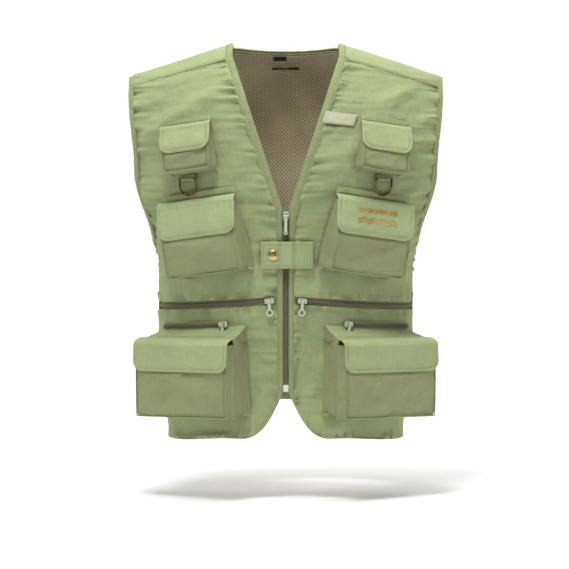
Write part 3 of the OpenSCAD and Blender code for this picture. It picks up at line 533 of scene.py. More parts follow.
def front_panels():
    for which, side in EDGE_SIDES:
        # above the waist zip
        u = np.linspace(0, 1, 84)
        s0, s1 = mix(front_s(WAIST_Z) + LAP, HALF_LEN, u), mix(NECK_S + LAP, FRONT_LEN - 5, u)
        lo, hi = waist_line(s0) + WAIST_TAPE / 2 - 1, arch_q(s1, YOKE_FRONT)
        q = rows(lo, hi, 170)
        inner, outer = front_s(q) + LAP, arm_s(q, 5)
        s = mix(inner, outer, u[None])
        off = drape(s, q, side, rim_fade(q))
        off += gather(s - inner, q, 16, 9, 1.5, 7 + side)
        off += gather(outer - s, q, 18, 10, 1.9, 13 + side, 5)
        off += gather(q - lo[None], s, 14, 10, 1.2, 19 + side)
        panel(f"upper_front_{which}", s, q, off, side, f"front_upper_{which}")
        for inset in (2.0, 7.0):
            seam(s1, hi - inset, 0.25, side)
            seam(s0, waist_line(s0) + WAIST_TAPE / 2 + inset, 0.2, side)
        # below it
        s0 = mix(front_s(0.0) + LAP, HALF_LEN, u**1.25)
        lo, hi = hem_q(s0), waist_line(s0) - WAIST_TAPE / 2 + 1
        q = rows(lo, hi, 100)
        s = np.broadcast_to(s0[None], q.shape)
        off = drape(s, q, side, rim_fade(q, 0.1)) * 0.8
        off += gather(s - s0[0], q, 18, 9, 1.7, 31 + side)
        off += gather(q - lo[None], s, 12, 8, 1.3, 37 + side)
        off += gather(hi[None] - q, s, 14, 10, 1.1, 41 + side)
        panel(f"lower_front_{which}", s, q, off, side, f"front_lower_{which}")
        for inset in (2.0, 8.0):
            seam(s0, lo + inset, 0.2, side)
            seam(s0, hi - inset, 0.2, side)
        # the mesh lining
        edge = 18.0
        u = np.linspace(0, 1, 40)
        s0, s1 = mix(edge, HALF_LEN - 3, u), mix(NECK_S + BAND, FRONT_LEN - 12, u)
        q = rows(hem_q(s0) + 14, arch_q(s1, YOKE_FRONT) - 2, 70)
        s = mix(np.maximum(edge, front_s(q) + BAND), np.minimum(HALF_LEN - 3, arm_s(q, 12)), u[None])
        panel(f"front_mesh_{which}", s, q, 0.5 * noise(s / 40, q / 50, 3), side, f"front_lining_{which}",
              base=-6.4, lining=True)


def neck_angle(s):
    return mix(60.0, 180 - YOKE_BACK, np.clip(np.abs(s) / NECK_S, 0, 1) ** 2)


def neck_q(s):
    return arch_q(s, neck_angle(s))


def back_panels():
    u = np.linspace(-1, 1, 150)
    lo = back_hem_q(u * HALF_LEN)
    q = rows(lo, neck_q(u * (FRONT_LEN - 5)), 150)
    s = u[None] * arm_s(q, 5)
    d = arm_s(q, 5) - np.abs(s)
    off = drape(s + 700, q, 1, rim_fade(q, 0.05))
    off += gather(d, q, 18, 10, 1.0, 51, 5)
    off += gather(q - lo[None], s, 12, 9, 0.8, 57)
    yoke_q = ARCH_Z + 60.0
    off -= 0.8 * np.exp(-((q - yoke_q) / 2.2) ** 2)
    panel("back_cloth", s, q, off, 1, "back_panel", BACK, rests_on=["hanger_loop"])
    line = np.linspace(-HALF_LEN + 1, HALF_LEN - 1, 300)
    for inset in (2.0, 9.0):
        seam(line, back_hem_q(line) + inset, 0.2, facing=BACK)
    line = np.linspace(-1, 1, 260) * float(arm_s(np.array(yoke_q), 5))
    for inset in (2.0, 7.0):
        seam(line, np.full_like(line, yoke_q + inset), 1.2, facing=BACK)
    # the mesh lining, seen through the neck
    u = np.linspace(-1, 1, 90)
    q = rows(back_hem_q(u * HALF_LEN) + 14, neck_q(u * (FRONT_LEN - 12)) - 5, 90)
    s = u[None] * np.minimum(HALF_LEN - 3, arm_s(q, 12))
    off = 0.8 * folds(s, q, 80, 120, 30, 5)
    panel("back_mesh", s, q, off, 1, "back_lining", BACK, base=-6.6, lining=True)
    # a facing of shell cloth inside the back neck
    top_s = np.linspace(-1, 1, 60) * (NECK_S + 6)
    q = neck_q(top_s)[None] + mix(-34, -1.0, np.linspace(0, 1, 14)[:, None])
    s = np.broadcast_to(top_s[None], q.shape)
    grid = skin(s, q, -4.6) * BACK
    inner = skin(s, q, -5.4) * BACK
    cut("neck_facing", grid[:, ::-1], inner[:, ::-1], flat_uv(s, q)[:, ::-1], flat=grid, slot="shell_cloth",
        material=SHELL)
    for which, side in EDGE_SIDES:
        s0 = mix(NECK_S + LAP, FRONT_LEN - 5, np.linspace(0, 1, 44))
        q = ARCH_Z + rise_r(s0)[None] * np.radians(mix(YOKE_FRONT, YOKE_BACK, np.linspace(0, 1, 34))[:, None])
        s = np.broadcast_to(s0[None], q.shape)
        off = 0.35 + rim_fade(q) * (0.8 * folds(s * side, q, 20, 90, 24, 61) + 0.4)
        off += gather(s0[-1] - s, q, 16, 9, 0.8, 67 + side, 5)
        panel(f"shoulder_yoke_{which}", s, q, off, side, f"yoke_{which}")
        for inset in (2.0, 6.5):
            seam(s0, q[0] + inset, 0.7, side)
            seam(s0, q[-1] - inset, 0.7, side)


# ---- bindings ----
def tube(name, rings, closed=False, **how):
    """A closed skin over rings of points, with end caps unless the path is closed."""
    n, k = rings.shape[:2]
    faces = []
    for i in range(n if closed else n - 1):
        j = (i + 1) % n
        faces += [[i * k + a, i * k + (a + 1) % k, j * k + (a + 1) % k, j * k + a] for a in range(k)]
    if not closed:
        faces += [list(range(k))[::-1], [(n - 1) * k + a for a in range(k)]]
    run = lengths(rings.mean(1))
    uv = np.stack(np.broadcast_arrays(np.linspace(0, 0.024, k)[None], run[:, None] / 1000), -1)
    return to_object(name, rings.reshape(-1, 3), faces, uv=uv, **how)


def flat_ring(half, thick):
    """The section of a folded band: across it, and out of it."""
    a = np.arange(14) / 14 * 2 * math.pi
    c, s = np.cos(a), np.sin(a)
    return half * np.sign(c) * np.abs(c) ** 0.55, thick * np.sign(s) * np.abs(s) ** 0.8


def furrow(across, at):
    """The line that stitches press into a band."""
    return -0.55 * np.exp(-((across - at) / 0.9) ** 2)


def edge_binding(which, side):
    cross_s, cross_n = flat_ring(BAND / 2, 1.75)
    top = float(arch_q(NECK_S, YOKE_BACK + 1.5))
    q = np.linspace(float(hem_q(ZIP_HALF)) - 1, top, 330)[:, None]
    width = 1 + 0.03 * noise(q / 14, 3.0, 9)
    s = np.minimum(front_s(q), NECK_S) + BAND / 2 + cross_s[None] * width
    foot = hem_q(ZIP_HALF + BAND / 2 + cross_s[None]) - 0.5
    q = foot + (top - foot) * np.linspace(0, 1, 330)[:, None]
    wave = 0.45 * noise(q / 7, 1.0, 71 + side) + 0.25 * noise(q / 3.5, 2.0, 73)
    thick = 1 + 0.18 * noise(q / 5, 4.0, 75 + side)
    ridge = furrow(cross_s[None], BAND / 2 - 2.2) * (cross_n[None] > 0)
    rings = skin(s, q, wave * 0.6 - 0.7 + cross_n[None] * thick + ridge)
    obj = tube(f"edge_binding_{which}", rings, side=side, slot="binding_cloth", material=BINDING)
    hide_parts(f"front_edge_{which}")
    line = np.linspace(float(hem_q(ZIP_HALF)) + 2, top, 420)
    seam(np.minimum(front_s(line), NECK_S) + BAND - 2.2, line, 0.9, side, size=0.95)


def armhole_binding(which, side):
    e = np.radians(np.linspace(4, 88, 60))
    mid = FRONT_LEN - BAND / 2
    s1, q1 = mix(HALF_LEN, mid, np.sin(e)), mix(ARM_Z - BAND / 2, ARCH_Z, 1 - np.cos(e))
    a = np.radians(np.linspace(0, 180, 110))
    s2 = np.full_like(a, mid)
    q2 = ARCH_Z + rise_r(s2) * a
    legs = ((s1, q1, FRONT), (s2, q2, FRONT), (s1[::-1], q1[::-1], BACK))
    path = np.concatenate([skin(s, q, -0.6) * facing for s, q, facing in legs])
    out = np.concatenate([outward(s, q) * facing for s, q, facing in legs])
    d = lengths(np.concatenate([path, path[:1]]))
    at = np.linspace(0, d[-1], 521)[:-1]
    path, out = (read_at(at, d, np.concatenate([v, v[:1]])) for v in (path, out))
    run = unit(np.roll(path, -3, 0) - np.roll(path, 3, 0))
    across = unit(np.cross(run, out))
    out = np.cross(across, run)
    ring_a, ring_n = flat_ring(4.6, 1.9)
    t = at[:, None]
    wave = 0.5 * noise(t / 8, 1.0, 81 + side) + 0.3 * noise(t / 3.7, 2.0, 83)
    ridge = furrow(np.abs(ring_a[None]), 2.6) * (ring_n[None] > 0)
    lift = wave * 0.6 + ring_n[None] * (1 + 0.2 * noise(t / 5, 3.0, 85)) + ridge
    wide = ring_a[None] * (1 + 0.03 * noise(t / 12, 0.0, 87))
    rings = path[:, None] + across[:, None] * wide[..., None] + out[:, None] * lift[..., None]
    obj = tube(f"arm_binding_{which}", rings, closed=True, side=side, slot="binding_cloth", material=BINDING)
    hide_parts(f"armhole_binding_{which}")
    # the stitches run on the panel's side of the band
    inward = np.sign(np.sum(across * (np.array([120.0, 0, 400]) - path), -1))[:, None]
    line = path + across * 2.6 * inward + out * 1.4
    stitch(np.concatenate([line, line[:1]]), np.concatenate([out, out[:1]]), side, size=0.95)


def bindings():
    for which, side in EDGE_SIDES:
        edge_binding(which, side)
        armhole_binding(which, side)
    cross_s, cross_n = flat_ring(BAND / 2, 1.75)
    s = np.linspace(-1, 1, 150)[:, None] * (NECK_S + 1)
    q = neck_q(s) - BAND / 2 - 0.3 + cross_s[None]
    rings = skin(np.broadcast_to(s, q.shape), q, 0.4 + cross_n[None] + 0.3 * noise(s / 7, 1.0, 91)) * BACK
    obj = tube("back_neck_binding", rings[::-1], slot="binding_cloth", material=BINDING)
    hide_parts("neck_binding")
    line = np.linspace(-NECK_S, NECK_S, 160)
    seam(line, neck_q(line) - BAND + 1.8, 2.0, facing=BACK, size=0.95)


# ---- pockets ----
MOUTH_T, SKIN_GAP, FLAP_GAP, FLAP_TURN, FLAP_START, FLAP_T, POUCH_IN = 9.0, 0.9, 1.6, 11.0, 1.4, 2.4, 3.0


class Pocket:
    """A flat frame that touches the body at the middle of a pocket's hinge line: u across, t down, n out."""

    def __init__(self, name, s, z, flap_w=0, height=1, stand_off=0, mouth=0, flap_h=0, tilt=0, base=0.0,
                 bulge=0.0):
        self.name, self.s, self.z, self.h, self.off, self.mouth = name, s, z, height, stand_off, mouth
        self.flap_w, self.flap_h, self.base, self.bulge = flap_w, flap_h, base, bulge
        self.w = flap_w - 2 * POUCH_IN
        r = rise_r(s)
        self.q = z if z < ARCH_Z else float(ARCH_Z + r * math.asin((z - ARCH_Z) / r))
        self.o, self.n = skin_pt(s, self.q), outward(s, self.q)
        u = unit(skin_pt(s + 0.5, self.q) - skin_pt(s - 0.5, self.q))
        self.c, self.k = math.cos(math.radians(tilt)), math.sin(math.radians(tilt))
        self.u = u * self.c - np.cross(self.n, u) * self.k
        self.v = np.cross(self.n, self.u)
        self.r = float(widen(np.array(z))) * FRONT_R

    def local(self, u, t, n):
        u, t, n = np.broadcast_arrays(u, t, n)
        return self.o + u[..., None] * self.u - t[..., None] * self.v + n[..., None] * self.n

    def behind(self, u, t, off):
        u, t = np.broadcast_arrays(np.asarray(u, float), np.asarray(t, float))
        h, v = u * self.c - t * self.k, -u * self.k - t * self.c
        s = np.minimum(HALF_LEN - 2, self.s + FRONT_R * np.arcsin(np.clip(h / self.r, -1, 1)))
        return skin(s, self.q + v, off)

    def belly(self, t):
        way = np.sin(math.pi / 2 * np.clip((t - MOUTH_T) / (0.5 * self.h), 0, 1))
        return self.base + mix(self.mouth - self.base, self.off - self.base, way)

    def flap_n(self, t):
        n1 = self.belly(np.maximum(t, FLAP_TURN)) + FLAP_GAP
        a = np.where(t >= FLAP_TURN, math.pi / 2, np.arccos(np.clip(1 - t / FLAP_TURN, -1, 1)))
        return mix(self.base + FLAP_START, n1, np.sin(a))

    def flap_half(self, t, corner=17.0):
        low = np.clip(t - (self.flap_h - corner), 0, corner - 0.05)
        return self.flap_w / 2 - (corner - np.sqrt(np.maximum(0, corner**2 - low**2)))


def round_to(x, z):
    """Distance round the section to a point x from the middle at a height z."""
    return float(sec_s(x / widen(z)))


CHEST = Pocket("chest", round_to(155, CHEST_Z), CHEST_Z, flap_w=84, height=79, stand_off=18, mouth=9,
               flap_h=48, tilt=8, bulge=1.0)
MID = Pocket("mid", round_to(138, MID_Z), MID_Z, flap_w=132, height=118, stand_off=28, mouth=12, flap_h=58,
             tilt=8, bulge=5.0)
LOWER = Pocket("lower", round_to(138, LOWER_Z), LOWER_Z, flap_w=177, height=124, stand_off=52, mouth=49,
               flap_h=52, tilt=1, base=26.0, bulge=2.0)
CASE = Pocket("case", round_to(138, LOWER_Z), LOWER_Z, flap_w=174, height=120, stand_off=26, mouth=26, tilt=1)


def normals_of(grid):
    return unit(np.cross(np.gradient(grid, axis=1), np.gradient(grid, axis=0)) + 1e-9)


def turned_edge(r, d, angles):
    """The round edge of a box pouch: how far in from the side, and the share of the stand-off."""
    return [(r * (1 - math.cos(x)), 1 - r / d * (1 - math.sin(x))) for x in angles]


def across(w, d, n, corner=7.0):
    """Across a box pouch: [place, share of the stand-off], with tight round edges."""
    r = min(corner, d * 0.4)
    left = [(-w / 2, k) for k in np.linspace(0, 1 - r / d, 6)[:-1]]
    left += [(-w / 2 + x, k) for x, k in turned_edge(r, d, np.linspace(0, math.pi / 2, 5))]
    mid = [(x, 1.0) for x in np.linspace(-w / 2 + r, w / 2 - r, n)[1:-1]]
    return np.array(left + mid + [(-x, k) for x, k in left[::-1]])


def down(h, d, top, n, closed=False, corner=9.0):
    """Down a box pouch, in the same way; closed gives it a top wall too."""
    r = min(corner, d * 0.5)
    a = np.linspace(math.pi / 2, 0, 6)
    front = [(x, 1.0) for x in np.linspace(top + (r if closed else 0), h - r, n)[:-1]]
    low = [(h - x, k) for x, k in turned_edge(r, d, a)] + [(h, k) for k in np.linspace(1 - r / d, 0, 7)[1:]]
    head = []
    if closed:
        head = [(top, k) for k in np.linspace(0, 1 - r / d, 6)[:-1]]
        head += [(top + x, k) for x, k in turned_edge(r, d, a[::-1])]
    return np.array(head + front + low)


def sag(p, u, t, w, h, seed, side):
    """Hang of a pouch's front: fuller low down, with soft slanting drags and nipped corners."""
    x, y = u / (w / 2), t / h
    fade = (1 - np.abs(x) ** 6) * ease(1.0, 0.93, y)
    full = p.bulge * np.sin(np.clip(y, 0, 1) * math.pi) ** 0.8 * (1 - x * x) ** 0.5 if p.bulge else 0
    drag = 4.6 * folds(u * side + 300, t, 14, 110, 26, seed) + 3.2 * folds(u * side, t, -24, 70, 19, seed + 3)
    return fade * (drag + 0.9 * noise(u / 11, t / 9, seed + 5)) + full


def under_flap(p, t):
    """The most that a pouch's front may bulge: little beneath its flap, more below it."""
    return mix(0.5, 9.0, ease(p.flap_h, p.flap_h + 18, t))


def pouch_grid(p, a, b, belly, back):
    """Points over a box pouch, with their places across and down and their share of the stand-off."""
    k = b[:, None, 1] * a[None, :, 1]
    u, t = np.broadcast_arrays(a[None, :, 0], b[:, None, 0])
    return mix(back(u, t), p.local(u, t, belly(t)), k[..., None]), u, t, k


def u_line(w, top, h, n_side, n_low):
    """Down one side of a pouch, along its foot and up the other side."""
    side, low = np.full(n_side, w), np.linspace(-w, w, n_low)[1:-1]
    return (np.r_[-side, low, side],
            np.r_[np.linspace(top, h, n_side), np.full(len(low), h), np.linspace(h, top, n_side)])


def pouches():
    for p, seed in ((CHEST, 3), (MID, 13), (LOWER, 23)):
        for which, side in EDGE_SIDES:
            def front_lift(u, t):
                return sag(p, u, t, p.w, p.h, seed + side, side)

            def back(u, t):
                return p.local(u, t, p.base + SKIN_GAP) if p.base else p.behind(u, t, SKIN_GAP)

            d = p.off - p.base
            grid, u, t, k = pouch_grid(p, across(p.w, d, 46), down(p.h, d, MOUTH_T, 44), p.belly, back)
            n = normals_of(grid[::-1])[::-1]
            push = ease(0.2, 0.75, k) * front_lift(u, t)
            push -= ease(0.9, 0.4, k) * ease(0, 0.2, k) * (1.6 + 1.2 * noise(t / 16, k * 3, seed + 7 + side))
            push += 0.4 * noise(u / 8, t / 8, seed + 9) * ease(0, 0.3, k)
            outer = grid + n * (np.minimum(push, under_flap(p, t)) + 0.3)[..., None]
            uv = flat_uv(u + k * 8, -t + k * 5)
            cut(f"{p.name}_pouch_cloth_{which}", outer[::-1], (outer - n)[::-1], uv[::-1],
                f"{p.name}_pouch_{which}", grid[::-1], "stretched", (f"front_upper_{which}",), side=side,
                slot="pocket_cloth", material=SHADED_POCKET)
            # the pinched seam round the front face, with its stitches
            inset, gap = 1.3, 3.0
            us, ts = u_line(p.w / 2 - inset, MOUTH_T + 1, p.h - inset, 40, 60)
            pinch = p.local(us, ts, p.belly(ts) - 0.6 + 0.35 * noise(us / 9, ts / 9, seed))
            piping(f"{p.name}_seam_{which}", pinch, p.n, 0.95, side)
            uu = np.clip(us, -p.w / 2 + gap + inset, p.w / 2 - gap - inset)
            tt = np.minimum(ts, p.h - gap - inset)
            keep = np.r_[True, (np.abs(np.diff(uu)) + np.abs(np.diff(tt))) > 1e-6]
            uu, tt = uu[keep], tt[keep]
            lift = np.minimum(front_lift(uu, tt) + 0.4 * noise(uu / 8, tt / 8, seed + 9), under_flap(p, tt))
            stitch(p.local(uu, tt, p.belly(tt) + lift + 0.45), p.n, side)


def piping(name, path, out, radius, side):
    """A thin folded ridge of cloth along a line."""
    d = lengths(path)
    at = np.linspace(0, d[-1], max(12, int(d[-1] / 2.2)))
    path = read_at(at, d, path)
    run = unit(np.gradient(path, axis=0))
    cross = unit(np.cross(run, np.broadcast_to(out, run.shape)))
    up = np.cross(cross, run)
    a = np.arange(8) / 8 * 2 * math.pi
    fat = radius * (1 + 0.12 * noise(at / 4, 0.0, 5))[:, None]
    rings = (path[:, None] + cross[:, None] * (fat * np.cos(a))[..., None]
             + up[:, None] * (fat * np.sin(a))[..., None])
    tube(name, rings, side=side, slot="binding_cloth", material=BINDING)


def flap_face(p, t):
    """How far a flap's outer face stands off."""
    return p.flap_n(t) + FLAP_T * 0.78


def flap(p, seed, which, side):
    body = f"{p.name}_flap_{which}"
    quarter = np.linspace(0, math.pi / 2, 8)[:-1]
    t0 = np.r_[FLAP_TURN * (1 - np.cos(quarter)),
               p.flap_h - (p.flap_h - FLAP_TURN) * np.cos(np.linspace(0, math.pi / 2, 40))]
    t0 = np.unique(np.round(np.clip(t0, 0, p.flap_h), 3))[:, None]
    x = np.sin(np.linspace(-math.pi / 2, math.pi / 2, 56))[None]
    u, t = np.broadcast_arrays(x * p.flap_half(t0), t0)
    inside = np.minimum(p.flap_half(t0) - np.abs(u), np.where(t < 1, 99, p.flap_h - t))
    body_in = ease(0, 8, inside)
    wave = 1.3 * folds(u * side + 90, t, 8, 80, 20, seed + side) + 0.5 * noise(u / 10, t / 9, seed + 2)
    rim = 0.35 * np.sin(u / 21 + seed + side) * ease(p.flap_h - 16, p.flap_h, t)
    plump = 0.35 * ease(0, 3, inside) - 0.55 * np.exp(-((inside - 5.4) / 1.1) ** 2) * ease(8, 14, t)
    top = flap_face(p, t) + body_in * wave * 0.9 + rim + plump - 0.6 * ease(1.6, 0, inside)
    low = p.flap_n(t) + 0.35 + body_in * wave * 0.4 + rim + 0.5 * ease(1.6, 0, inside)
    low = np.minimum(low, top - 0.5)
    outer, inner, plain = (p.local(u, t, level)[::-1] for level in (top, low, p.flap_n(t)))
    uv = flat_uv(u, -t)[::-1]
    cut(f"{p.name}_flap_cloth_{which}", outer, inner, uv, body, plain, rests_on=(f"{p.name}_pouch_{which}",),
        side=side, body=body, slot="flap_cloth", material=FLAP, sharp=60)
    # a row of stitches inside the rim, round the two low corners
    c, gap = 12.0, 5.4
    w, h = p.flap_w / 2 - gap, p.flap_h - gap
    arc = np.radians(np.linspace(0, 90, 10))
    back = arc[::-1]
    us = np.r_[np.full(20, -w), -w + c * (1 - np.cos(arc)), np.linspace(-w + c, w - c, 50)[1:-1],
               w - c * (1 - np.cos(back)), np.full(20, w)]
    ts = np.r_[np.linspace(4, h - c, 20), h - c + c * np.sin(arc), np.full(48, h),
               h - c + c * np.sin(back), np.linspace(h - c, 4, 20)]
    stitch(p.local(us, ts, flap_face(p, ts) + 0.05), p.n, side, body=body)
    # hook tape on the inside
    w = min(60, p.flap_w * 0.36) / 2
    u, t = np.meshgrid(np.linspace(-w, w, 16), np.linspace(p.flap_h - 8, p.flap_h - 22, 8))
    n = p.flap_n(t)
    pile = n - 0.35 + 0.12 * noise(u * 2, t * 2, 7)
    shell(f"{p.name}_hook_{which}", p.local(u, t, n + 0.3), p.local(u, t, pile), flat_uv(u, -t), side=side,
          body=body, slot="loop_fabric", material=LOOPS)


def strip(p, seed, which, side):
    """The sewn strip over a flap."""
    half, low, high = p.flap_w / 2 - 0.5, 0.6, -10.5
    u, t = np.meshgrid(np.linspace(-half, half, 50), np.linspace(low, high, 9))
    edge = np.minimum(np.minimum(t - high, low - t), half - np.abs(u))
    puff = 1.0 + 0.9 * ease(0, 2.2, edge) + 0.25 * noise(u / 8, t / 8, seed)
    shell(f"{p.name}_strip_{which}", p.behind(u, t, puff + 0.5 * ease(-14, -2, t)), p.behind(u, t, 0.4),
          flat_uv(u, -t), side=side, slot="flap_cloth", material=FLAP)
    for at in (-8.6, -1.6):
        uu = np.linspace(-p.flap_w / 2 + 3, p.flap_w / 2 - 3, 60)
        stitch(p.behind(uu, np.full_like(uu, at), 2.0 + 0.5 * float(ease(-14, -2, at))), p.n, side)


def flaps():
    for p, seed in ((CHEST, 31), (MID, 43), (LOWER, 57)):
        for which, side in EDGE_SIDES:
            flap(p, seed, which, side)
    for p, seed in ((CHEST, 3), (MID, 5)):
        for which, side in EDGE_SIDES:
            strip(p, seed, which, side)


# ---- the zipped compartments behind the lower pouches ----
def compartment_top(which, side, w):
    """The sloping top, from the compartment zip down to the flap, with its two end walls."""
    p = CASE
    u, x = np.meshgrid(np.linspace(-w / 2 + 1, w / 2 - 1, 60), np.linspace(0, 1, 22))
    t = mix(0.8, p.z - (LOWER_ZIP_Z - WAIST_FALL * (p.o[0] + u * p.u[0]) - 4.0), x)
    n_off = 2.6 + (p.off - 1.6) * (1 - x) ** 1.7 + 1.2 * noise(u / 16, x * 3, 17 + side) * np.sin(x * math.pi)
    curve, flat = p.behind(u, t, 0.0), p.local(u, t, np.zeros_like(t))
    top = mix(curve, flat, ((1 - x) ** 1.2)[..., None]) + n_off[..., None] * p.n
    n = normals_of(top)
    cut(f"compartment_top_{which}", top, top - n, flat_uv(u, -t), None, top, "stretched",
        (f"compartment_{which}",), side=side, slot="pocket_cloth", material=FLAP)
    share = np.linspace(0, 1, 10)[None, :, None]
    for end, col, turn in (("inner", 0, 1), ("outer", -1, -1)):
        foot = p.behind(u[:, col], np.maximum(t[:, col], 0) + 5.2 * (1 - x[:, col]), 0.6)
        wall = mix(foot[:, None], top[:, None, col], share)
        bow = 1.2 * np.sin(share[..., 0] * math.pi) * np.sin(x[:, :1] * math.pi)
        drop = wall[0] + p.v * -6.0
        wall = np.concatenate([drop[None], wall + (bow * turn)[..., None] * p.u])
        wall = wall[:, ::turn]
        uv = flat_uv(*np.meshgrid(np.linspace(0, 26, wall.shape[1]), np.linspace(0, 30, wall.shape[0])))
        shell(f"compartment_wall_{end}_{which}", wall, wall - normals_of(wall) * 0.9, uv, side=side,
              slot="pocket_cloth", material=SHADED_POCKET)
    for row in (1, 4):
        stitch(top[row] + n[row] * 0.3, n[row], side)
    piping(f"compartment_edge_{which}", top[0] + p.n * 0.4, p.n, 1.1, side)


def compartments():
    p = CASE
    for which, side in EDGE_SIDES:
        a, b = across(p.w, p.off, 44, 6), down(p.h, p.off, 4.0, 36, closed=True, corner=6)
        grid, u, t, k = pouch_grid(p, a, b, lambda t: np.full_like(t, p.off),
                                   lambda u, t: p.behind(u, t, SKIN_GAP))
        n = normals_of(grid[::-1])[::-1]
        push = ease(0.9, 0.3, k) * ease(0, 0.25, k) * (-1.4 + 1.3 * noise(t / 15 + u / 30, k * 2, 5 + side))
        push += ease(0.7, 1, k) * (0.2 * noise(u / 12, t / 10, 7))
        outer = grid + n * push[..., None]
        uv = flat_uv(u + k * 26, -t + k * 8)
        cut(f"compartment_cloth_{which}", outer[::-1], (outer - n)[::-1], uv[::-1], f"compartment_{which}",
            grid[::-1], "stretched", (f"front_lower_{which}",), side=side, slot="pocket_cloth",
            material=SHADED_POCKET)
        us, ts = u_line(p.w / 2 - 0.8, 6, p.h - 0.8, 36, 60)
        piping(f"compartment_seam_{which}", p.local(us, ts, np.full_like(ts, p.off - 0.5)), p.n, 0.9, side)
        piping(f"compartment_hem_{which}", p.behind(us, ts, 1.2), p.n, 0.8, side)
        compartment_top(which, side, p.w)


# ---- zips ----
def zip_at(s, h, n, z0, fall=FALL):
    """A place on a zip that runs round the body in a plane falling to the side."""
    s, h, n = np.broadcast_arrays(*(np.asarray(v, float) for v in (s, h, n)))
    a = s / FRONT_R
    b = TURN + (s - FRONT_LEN) / SIDE_R
    x = np.where(s < FRONT_LEN, (FRONT_R + n) * np.sin(a), HALF_W - SIDE_R + (SIDE_R + n) * np.sin(b))
    y = np.where(s < FRONT_LEN, -(FRONT_R + n) * np.cos(a), -AXIS_Y - (SIDE_R + n) * np.cos(b))
    c, k = math.cos(math.radians(fall)), math.sin(math.radians(fall))
    return np.stack([x * c + h * k, y + AXIS_Y, -x * k + h * c + z0], -1)


# a tooth's sections: the place along it, half its width, and its thickness
TOOTH_SECTIONS = ((-1.15, 0.25, 0.4), (-0.75, 0.62, 1.15), (-0.15, 0.62, 1.25), (0.3, 0.42, 1.0),
                  (2.6, 0.42, 1.0), (3.0, 0.2, 0.5))
TOOTH = np.array([point for x, half, thick in TOOTH_SECTIONS for point in (
    (x, -half, -thick), (x, half, -thick), (x, half * 0.8, thick * 0.55), (x, 0, thick),
    (x, -half * 0.8, thick * 0.55))])
TOOTH_FACES = [[5 * i + k, 5 * i + (k + 1) % 5, 5 * i + 5 + (k + 1) % 5, 5 * i + 5 + k]
               for i in range(5) for k in range(5)] + [[4, 3, 2, 1, 0], [25, 26, 27, 28, 29]]
PITCH = 1.9


def teeth(name, at, run, out, flip, side, node):
    """Interlocking teeth along a zip: at is their middle, run the way along, out the way to the front."""
    cross = np.cross(out, run) * flip
    verts = (at[:, None] + cross[:, None] * TOOTH[None, :, :1] + run[:, None] * TOOTH[None, :, 1:2]
             + out[:, None] * TOOTH[None, :, 2:])
    faces = [[i * len(TOOTH) + k for k in f[::flip]] for i in range(len(at)) for f in TOOTH_FACES]
    obj = to_object(name, verts.reshape(-1, 3), faces, side=side, slot="zip_coil", material=COIL)
    if node:
        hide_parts(node)


def front_zip(which, side):
    """Tape with a raised cord, and teeth."""
    z = np.arange(CUT_H + 1 + (0 if side > 0 else PITCH / 2), V_Z - 4, PITCH)
    at = np.stack([0 * z, 0 * z - HALF_D + 0.9, z], -1)
    run, out = (np.broadcast_to(way, at.shape) for way in ([0.0, 0, 1], [0.0, -1, 0]))
    teeth(f"front_teeth_{which}", at, run, out, -1, side, f"zip_teeth_{which}")
    x, z = np.meshgrid(np.linspace(0.4, 15, 16), np.linspace(CUT_H + 0.3, V_Z - 3.2, 120))
    y = TAPE_FACE - HALF_D - 0.9 * np.exp(-((x - 3.0) / 0.8) ** 2) + 0.12 * noise(x / 3, z / 9, 5)
    grid = np.stack([x, y, z], -1)
    cut(f"front_tape_{which}", grid, grid + [0, 0.7, 0], flat_uv(x, z), f"zip_tape_{which}", grid,
        rests_on=(f"front_lower_{which}",), side=side, slot="zip_tape", material=TAPE)


def side_zip(name, which, side, z0, s0, s1, off, half, tape_node, coil_node):
    """A zip that runs round the body: tape with two raised cords, two rows of teeth and two of stitches."""
    s, h = np.meshgrid(np.linspace(s0, s1, 110), np.linspace(-half, half, 15))
    n = off - 3.1 + 0.9 * np.exp(-((np.abs(h) - 3.1) / 0.8) ** 2) + 0.1 * noise(s / 12, h / 3, 3)
    grid = zip_at(s, h, n, z0)
    cut(f"{name}_tape", grid, grid - normals_of(grid) * 0.6, flat_uv(s, h), tape_node, grid,
        rests_on=(f"front_lower_{which}",), side=side, slot="zip_tape", material=TAPE)
    for flip, shift, tag in ((1, 0, "upper"), (-1, PITCH / 2, "lower")):
        s = np.arange(s0 + 3 + shift, s1 - 1, PITCH)
        run = unit(zip_at(s + 0.5, 0, off, z0) - zip_at(s - 0.5, 0, off, z0))
        out = unit(zip_at(s, 0, off + 1, z0) - zip_at(s, 0, off, z0))
        teeth(f"{name}_teeth_{tag}", zip_at(s, 0, off - 1.0, z0), run, out, flip, side, coil_node)
    s = np.linspace(s0 + 1, s1 - 1, 160)
    for level in (-half + 1.2, half - 1.2):
        out = zip_at(s, level, off, z0) - zip_at(s, level, off - 1, z0)
        stitch(zip_at(s, level, off - 2.5, z0), out, side)


def zips():
    for which, side in EDGE_SIDES:
        front_zip(which, side)
        start = float(front_s(np.array(0.0))) + BAND + 2
        side_zip(f"waist_{which}", which, side, WAIST_Z, start, HALF_LEN - 4, 0.0, WAIST_TAPE / 2 + 0.3,
                 f"waist_tape_{which}", f"waist_coil_{which}")
        start = float(sec_s(96)) - 9
        side_zip(f"compartment_zip_{which}", which, side, LOWER_ZIP_Z, start, FRONT_LEN + 14, 6.0, 5.0,
                 f"lower_zip_{which}", None)


# ---- tab, loops, labels ----
def body_y(x):
    return AXIS_Y - np.sqrt(FRONT_R**2 - x * x)


TAB_Z, TAB_END, TAB_LEN, TAB_H, TAB_T, SNAP_X = 289.0, 43.0, 82.0, 42.0, 2.4, -19.5
TAB_LOW, TAB_HUMP = 3.6, 5.0                       # the tab stands off this far, and higher over the zip


